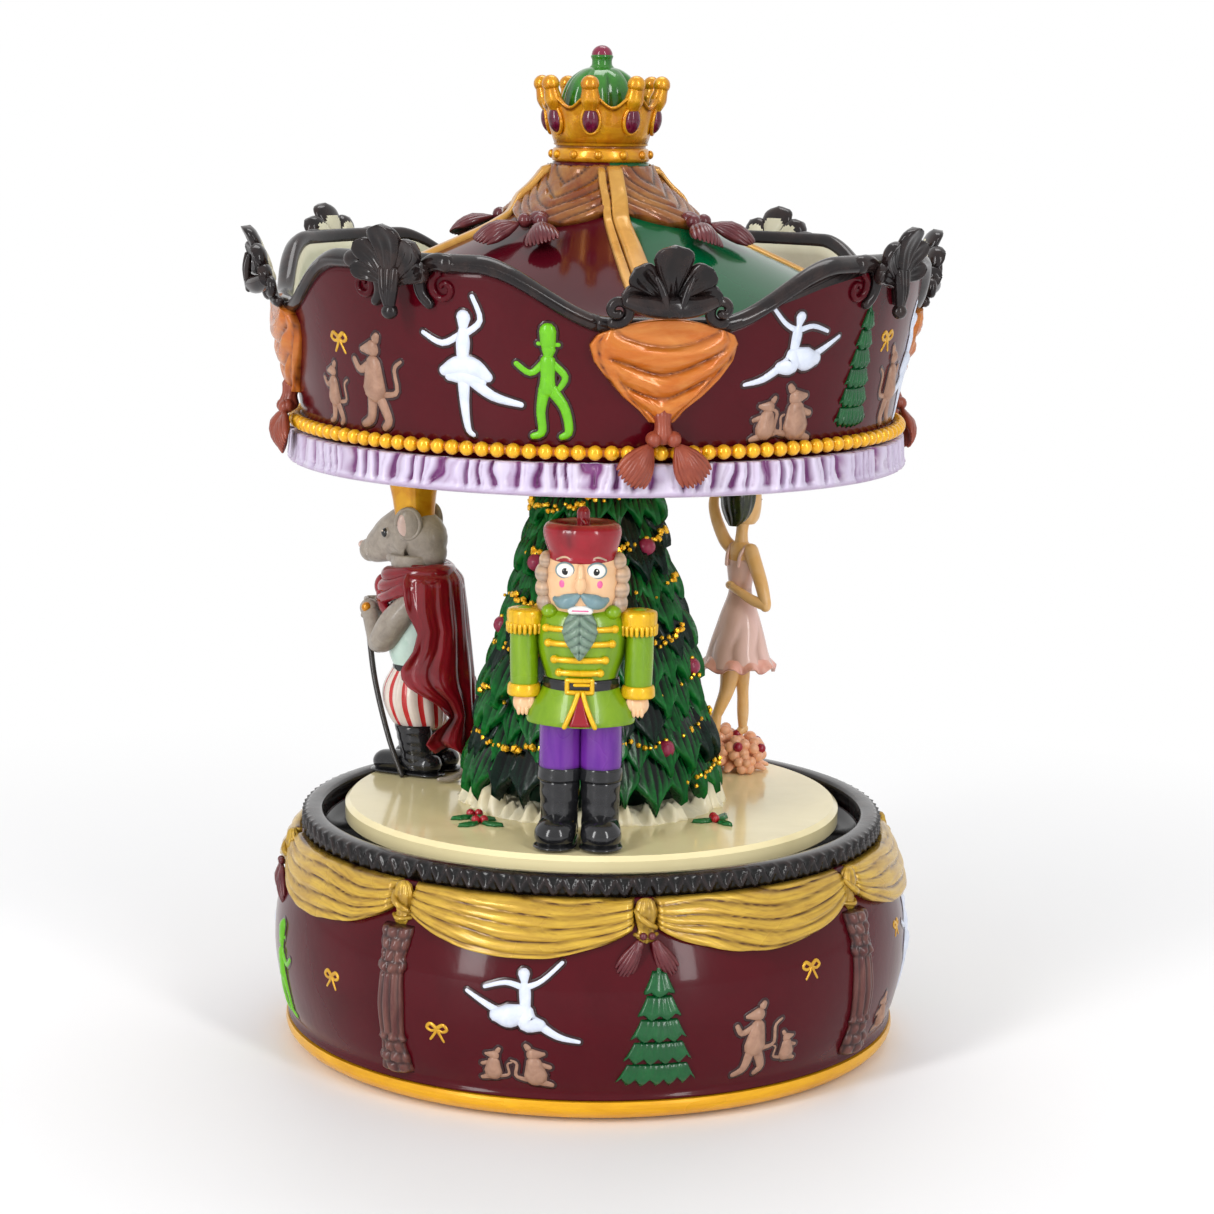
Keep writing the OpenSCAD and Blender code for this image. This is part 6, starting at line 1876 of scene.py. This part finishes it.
        sheet(bm, drape, 90, 2 * rows, cloak)
        for k, (z, wide, deep, lift) in enumerate(((46.6, 6.2, 6.4, 0.6), (44.8, 6.8, 7.4, 1.6),
                                                   (43, 7, 8, 2.8))):
            roll = []
            for s in range(25):
                a = TAU * s / 24
                front = max(0, cos(a))
                roll.append((wide * sin(a), -2 + 1.2 * (1 - front) - deep * cos(a), z - (1 + lift) * front,
                             1.75 + 0.35 * sin(3 * a + k)))
            limb(bm, roll, cloak, 16, 60, ends=1)
        ball(bm, (0.8, -10.6, 42.2), (2.6, 1.9, 2.8), cloak, 24)
        limb(bm, [(2, -10.4, 41, 1.3), (4.8, -7.8, 38, 1.2), (7, -4.4, 36.4, 0.9)], cloak, 14)
        tail = [(0, 8.4, 9, 1), (1, 11.2, 5.4, 0.9), (3.4, 12.6, 2.2, 0.8), (6.6, 12, 1.1, 0.7),
                (8.8, 9.6, 0.9, 0.5)]
        limb(bm, tail, fur, 12, 24)
        plant(bm, MOUSE_TURN, "cloaked_mouse", paints, "mouse_paint", "mouse_figure")
        return {"FINISHED"}


# Blossoms of the dancer's cushion: x, y, z, size, lean of the petals
BLOSSOMS = (
    (2.4, 2.4, 8.2, 2.5, 30), (-3.2, 2.8, 5.6, 2.8, -20), (4.9, -1, 6, 2.7, 60), (-4.8, -1.8, 5, 2.7, -50),
    (0.8, 5.2, 3.8, 2.9, 0), (-0.4, -4.6, 5.2, 3, 180), (4.4, 4.2, 3, 2.6, 30), (-5.6, 2.6, 2.4, 2.4, -60),
    (0, 0, 7, 2.6, 0),
)


class CAROUSEL_OT_dancer(bpy.types.Operator):
    """Model the dancer on a cushion of blossoms"""

    bl_idname = "carousel.dancer"
    bl_label = "Dancer"

    def execute(self, context):
        skin, cloth, hair, leaf, blossom, heart, hem = range(7)
        paints = ["dancer_skin", "dress_pink", "dark_hair", "flower_lime", "blossom_peach", "blossom_heart",
                  "hem_rose"]
        bm = blank()
        for x, y, z, size, lean in BLOSSOMS:
            out = Vector((x, y, 2.2)).normalized()
            across = out.cross(Vector((0, 0, 1))).normalized()
            up = across.cross(out)
            centre = Vector((x, y, z))
            ball(bm, centre - out * 0.8, 0.8 * size, blossom, 18)
            for k in range(5):
                a = TAU * k / 5 + lean
                spot = centre + (across * cos(a) + up * sin(a)) * size * 0.62
                ball(bm, spot, (0.52 * size, 0.52 * size, 0.5 * size), blossom, 14)
            middle = heart if abs(x) < 5 and z > 3.2 else blossom
            ball(bm, centre + out * 0.42 * size, 0.42 * size, middle, 14)
        for k in range(9):
            a = radians(40 * k + 12)
            leafy = [(3 * sin(a), 3 * cos(a), 2.2, 2), (7 * sin(a), 6.6 * cos(a), 1, 0.9)]
            limb(bm, leafy, blossom, 12, flat=(1, 0.6))
        stand = [(-0.3, -1.4, 9.5, 0.95), (-0.3, -1.4, 13, 1.35), (-0.3, -1.2, 18, 1.35),
                 (-0.6, -0.6, 22, 1.8), (-0.8, 0, 27, 2.3)]
        limb(bm, stand, skin, 22, 24)
        limb(bm, [(-0.3, -0.6, 8.6, 1), (-0.3, -1.6, 9.2, 1.2)], skin, 16)
        bent = [(1.2, 1.6, 28, 2.4), (0.6, 2.2, 22.4, 2.2), (0.7, 3, 18.4, 1.7), (1.3, 4.4, 14.6, 1.35),
                (1.8, 5, 12.6, 1.1)]
        limb(bm, bent, skin, 24, 28)
        foot = [(1.8, 4.9, 13, 1.35), (2.1, 5.3, 10, 1.6), (2.3, 5, 7.6, 1.2), (2.4, 4.4, 6, 0.8)]
        limb(bm, foot, skin, 22, 20, flat=(1, 0.8))
        rows = [(24.4, 7.9, 7.6, 0.2), (26.6, 7.2, 6.8, 0.2), (31, 6.1, 5.6, 0.2), (36, 4.7, 4.2, 0.1),
                (40, 3.3, 2.8, 0), (42.2, 2.8, 2.4, 0), (45, 3.3, 2.6, 0), (48.4, 3.8, 2.6, 0),
                (50, 2.6, 1.8, 0)]

        def gathers(u, z):
            fold = hills(6.5 * u + 0.15 * sin(z * 0.5), 0.8)
            deep = ease((40 - z) / 14)
            waist = ease((1.2 - abs(z - 42)) / 1.2)
            # Painted shade in the skirt's folds and at the gathered waist
            return (1 + 0.1 * deep * (fold - 0.5) + 0.02 * sin(40 * u) * waist,
                    0.75 * (1 - fold) * deep + 0.35 * waist)

        stack(bm, rows, cloth, 72, 50, shape=gathers)

        def ruffle(u, v):
            k = round(v * 16)
            t = (k if k <= 8 else 16 - k) / 8
            under = 0.5 if k > 8 else 0
            a = TAU * u
            wave = sin(9 * a + 0.8 * sin(3 * a))
            r = 7 + 1.9 * t + 0.45 * wave * t - under * (1 if 0 < t < 1 else 0)
            z = 26.6 - 2.9 * t + 0.75 * wave * t - 0.6 * sin(a + 0.6) * t
            # The fourth value is painted shade in the ruffle's troughs
            return (r * 1.02 * sin(a), 0.2 - r * 0.97 * cos(a), z - under, 0.6 * max(0, -wave) * t)

        sheet(bm, ruffle, 144, 16, hem)
        back = [(47.4, 2.9, 2.3, 0.1), (49.6, 3.4, 2.4, 0.1), (51.6, 3.2, 2.1, 0), (53, 1.7, 1.5, 0)]
        stack(bm, back, skin, 40, 24)
        limb(bm, [(0, 0, 52, 1.7), (0, -0.1, 55, 1.35), (0, -0.4, 57.5, 1.5)], skin, 22)
        for side in (-1, 1):
            strap = [(2.4 * side, -2.4, 48.4, 0.4), (2.5 * side, -1.2, 51.4, 0.42),
                     (2.4 * side, 0.6, 52.2, 0.42), (2.1 * side, 2.2, 50.4, 0.42),
                     (1.9 * side, 2.7, 47.8, 0.45)]
            limb(bm, strap, cloth, 10, 24)
        limb(bm, [(-3.2, 0, 51.2, 1.75), (-4.6, 0.4, 49.4, 1.7), (-7.6, 0.9, 44.6, 1.55),
                  (-9.4, 1.2, 40.6, 1.35), (-9.8, 1.4, 39.4, 1.25)], skin, 24, 26)
        limb(bm, [(-9.8, 1.4, 39.6, 1.25), (-6.8, 2.6, 40.6, 1.2), (-3.6, 3.6, 42.2, 1),
                  (-1.4, 3.8, 43, 0.9)], skin, 22, 22)
        ball(bm, (-0.6, 3.7, 43.3), (1.5, 0.8, 1), skin, 16)
        limb(bm, [(3.2, 0, 51.2, 1.65), (5, 0.6, 53, 1.5), (7.6, 0.9, 57.6, 1.35), (8.8, 0.6, 61.6, 1.15),
                  (8, -0.6, 66.4, 0.85), (6.6, -1.8, 69.6, 0.75)], skin, 24, 34)
        ball(bm, (6, -2.3, 70.8), (0.9, 0.8, 1.4), skin, 16)

        face = [(57, 1.9, 2.1, -1.4), (58.4, 2.8, 3.2, -1.3), (61.4, 3.5, 4, -0.9), (64.6, 3.6, 4, -0.5),
                (67.4, 2.4, 2.8, 0), (68.2, 0.8, 0.9, 0.2)]
        stack(bm, face, skin, 40, 30)
        ball(bm, (0, -5, 61.4), (0.55, 0.8, 0.9), skin, 14)
        limb(bm, [(-0.8, -4.4, 59.5, 0.28), (0, -4.75, 59.5, 0.36), (0.8, -4.4, 59.5, 0.28)], heart, 10)
        for side in (-1, 1):
            lid = [(0.8 * side, -4.7, 62.6, 0.16), (1.5 * side, -4.5, 62.4, 0.22),
                   (2.2 * side, -4, 62.6, 0.16)]
            limb(bm, lid, hair, 8)
        locks = [(56.8, 1.2, 0.9, 2.6), (58.6, 3, 2.2, 1.9), (61.6, 4.1, 3.4, 1.4), (65.2, 4.2, 3.7, 1),
                 (68.2, 3.2, 3, 0.7), (69.6, 1.2, 1.1, 0.7)]
        # Painted shade in the grooves between the locks of hair
        stack(bm, locks, hair, 56, 34, shape=lambda u, z: (
            1 + 0.04 * cos(TAU * 11 * u + 0.4 * z), 0.8 * (1 - hills(11 * u + 0.06 * z, 0.8))))
        ball(bm, (0, 3.4, 67.2), (2.2, 2, 2), hair, 24)
        for k in range(5):
            a = TAU * k / 5
            ball(bm, (3 + cos(a), 3.4, 64.4 + sin(a)), (0.75, 0.5, 0.75), leaf, 12)
            ball(bm, (-2.6 + 0.8 * cos(a), 3.9, 65.6 + 0.8 * sin(a)), (0.6, 0.4, 0.6), leaf, 12)
        plant(bm, DANCER_TURN, "dancer", paints, "dancer_paint", "dancer_figure")
        return {"FINISHED"}


# ---------------------------------------------------------------- stage, camera and light

CAMERA_AT = (0.00277, -0.64004, 0.20547)
CAMERA_PITCH = radians(-9.79)
CAMERA_ROLL = 0.0148
CAMERA_LENS = 87.9
SENSOR = 36
FLOOR_HALF = 3
FLOOR_FADE = (0.13, 0.34)
WHITE_LIGHT = (1, 1, 1, 1)
WORLD_LIGHT = 0.55
# Each lamp's name, place, aim, size and power in watts
LAMPS = (
    ("key", (-0.9, -1.05, 0.66), (0, 0, 0.1), (0.26, 1.2), 12.5),
    ("fill", (0.75, -1.1, 0.66), (0, 0, 0.1), (0.16, 1.2), 8),
    ("top", (0.1, 0.5, 1.5), (0, 0, 0.12), (0.8, 0.5), 6),
)


def glow(name, spot, aim, size, power):
    """Soft rectangular lamp at a spot, aimed at a point."""
    light = bpy.data.lights.new(name, "AREA")
    light.shape = "RECTANGLE"
    light.size, light.size_y = size
    light.energy = power
    lamp = bpy.data.objects.new(name, light)
    lamp.location = spot
    lamp.rotation_euler = (Vector(aim) - Vector(spot)).to_track_quat("-Z", "Y").to_euler()
    bpy.context.scene.collection.objects.link(lamp)


class CAROUSEL_OT_stage(bpy.types.Operator):
    """Set the pale floor, the soft lights and the camera"""

    bl_idname = "carousel.stage"
    bl_label = "Stage"

    def execute(self, context):
        scene = context.scene
        bm = bmesh.new()
        bmesh.ops.create_grid(bm, x_segments=4, y_segments=4, size=FLOOR_HALF)
        mesh = bpy.data.meshes.new("pale_floor")
        bm.to_mesh(mesh)
        bm.free()
        ground = bpy.data.objects.new("pale_floor", mesh)
        scene.collection.objects.link(ground)
        white = bpy.data.materials.new("floor_white")
        white.use_nodes = True
        tree = white.node_tree
        shader = tree.nodes["Principled BSDF"]
        coords = add_node(tree, "TexCoord").outputs["Object"]
        cloud = add_node(tree, "TexNoise", inputs={"Vector": coords, "Scale": 3}).outputs["Fac"]
        pale = mixed(tree, cloud, srgb(250, 250, 251), srgb(246, 246, 248))
        tree.links.new(pale, shader.inputs["Base Color"])
        shader.inputs["Roughness"].default_value = 0.6
        camera_ray = add_node(tree, "LightPath").outputs["Is Camera Ray"]
        reach = add_node(tree, "VectorMath", {"operation": "LENGTH"}, {0: coords}).outputs["Value"]
        far = ramp(tree, reach, *FLOOR_FADE)
        fade = add_node(tree, "Math", {"operation": "MULTIPLY"}, {0: far, 1: camera_ray}).outputs[0]
        beyond = add_node(tree, "Emission", inputs={"Color": WHITE_LIGHT, "Strength": 1}).outputs[0]
        blend = add_node(tree, "MixShader", inputs={0: fade, 1: shader.outputs[0], 2: beyond})
        tree.links.new(blend.outputs[0], tree.nodes["Material Output"].inputs["Surface"])
        mesh.materials.append(white)
        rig.stage(ground)

        world = bpy.data.worlds.new("studio")
        scene.world = world
        world.use_nodes = True
        tree = world.node_tree
        back = tree.nodes["Background"]
        path = add_node(tree, "LightPath").outputs
        seen = path["Is Camera Ray"]
        for ray in ("Is Glossy Ray", "Is Transmission Ray"):
            seen = add_node(tree, "Math", {"operation": "MAXIMUM"}, {0: seen, 1: path[ray]}).outputs[0]
        level = add_node(tree, "MapRange", inputs={"Value": seen, "To Min": WORLD_LIGHT, "To Max": 1})
        back.inputs["Color"].default_value = WHITE_LIGHT
        tree.links.new(level.outputs["Result"], back.inputs["Strength"])

        for lamp in LAMPS:
            glow(*lamp)

        view = bpy.data.cameras.new("camera")
        view.lens = CAMERA_LENS
        view.sensor_fit = "HORIZONTAL"
        view.sensor_width = SENSOR
        view.clip_start = 0.01
        camera = bpy.data.objects.new("camera", view)
        look = Matrix.Rotation(pi / 2 + CAMERA_PITCH, 4, "X") @ Matrix.Rotation(CAMERA_ROLL, 4, "Z")
        camera.matrix_world = Matrix.Translation(CAMERA_AT) @ look
        scene.collection.objects.link(camera)
        scene.camera = camera
        scene.view_settings.view_transform = "Standard"
        return {"FINISHED"}


# ---------------------------------------------------------------- the add-on


def colour_prop(name, description, rgb):
    return bpy.props.FloatVectorProperty(
        name=name, description=description, subtype="COLOR", size=3, min=0.0, max=1.0,
        default=tuple(c / 255 for c in rgb),
    )


def count_prop(name, description, default, lowest, highest):
    return bpy.props.IntProperty(name=name, description=description, default=default, min=lowest, max=highest)


class CarouselSizes(bpy.types.PropertyGroup):
    chevron_count: count_prop("Chevrons", "Chevrons round the rim ring", 112, 60, 160)
    pleat_count: count_prop("Pleats", "Pleats gathered in the roof's frill", 104, 60, 160)
    crown_points: count_prop("Crown points", "Points of the crown", 8, 5, 12)
    leaf_rows: count_prop("Rows of leaves", "Rows of drooping leaves on the fir tree", 13, 8, 16)
    bauble_count: count_prop("Baubles", "Baubles hung on the tree", 12, 4, 20)
    stitch: bpy.props.FloatProperty(
        name="Braid width", description="Width of the braid on the soldier's coat",
        default=0.0009, min=0.0004, max=0.0014, unit="LENGTH", subtype="DISTANCE",
    )


class CarouselColours(bpy.types.PropertyGroup):
    wine: colour_prop("Wine", "Lacquer of the drum and the valance", (76, 6, 18))
    iron: colour_prop("Dark metal", "Paint of the rim ring, the moulding and the crests", (26, 20, 21))
    gilt: colour_prop("Gilt", "Paint of the foot band", (232, 172, 18))
    cream: colour_prop("Cream", "Enamel of the platform", (248, 234, 184))
    fir: colour_prop("Fir green", "Paint of the tree's leaves", (0, 78, 30))
    coat: colour_prop("Coat", "Paint of the soldier's coat", (106, 144, 10))
    cloak: colour_prop("Cloak", "Paint of the mouse's cloak", (118, 10, 24))
    dress: colour_prop("Dress", "Paint of the dancer's dress", (226, 190, 182))


PIECES = tuple(name for name in dir() if name.startswith("CAROUSEL_OT_"))
ORDER = (
    "drum", "rim_ring", "swags", "base_trims", "base_reliefs", "frill", "valance", "crests", "drapes",
    "roof_reliefs", "tent", "crown", "platform", "tree", "tree_trims", "soldier", "mouse", "dancer", "stage",
)


class CAROUSEL_PT_pieces(bpy.types.Panel):
    """Lists the carousel's sizes, colours and pieces"""

    bl_idname = "CAROUSEL_PT_pieces"
    bl_label = "Carousel music box"
    bl_space_type = "VIEW_3D"
    bl_region_type = "UI"
    bl_category = "Carousel"

    def draw(self, context):
        for group in (context.scene.carousel_sizes, context.scene.carousel_colours):
            box = self.layout.box()
            for name in group.__annotations__:
                box.prop(group, name)
        column = self.layout.column()
        for name in ORDER:
            column.operator("carousel." + name)


CLASSES = (CarouselSizes, CarouselColours, *(globals()[name] for name in PIECES), CAROUSEL_PT_pieces)


def register():
    for cls in CLASSES:
        bpy.utils.register_class(cls)
    bpy.types.Scene.carousel_sizes = bpy.props.PointerProperty(type=CarouselSizes)
    bpy.types.Scene.carousel_colours = bpy.props.PointerProperty(type=CarouselColours)


def unregister():
    del bpy.types.Scene.carousel_sizes
    del bpy.types.Scene.carousel_colours
    for cls in reversed(CLASSES):
        bpy.utils.unregister_class(cls)


def main():
    register()
    for name in ORDER:
        getattr(bpy.ops.carousel, name)()
    box = {"cad": CAD_BOUNDS, "visual": [list(corner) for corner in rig.bounds()]}
    with open("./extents.json", "w") as out:
        json.dump(box, out)


if __name__ == "__main__":
    main()
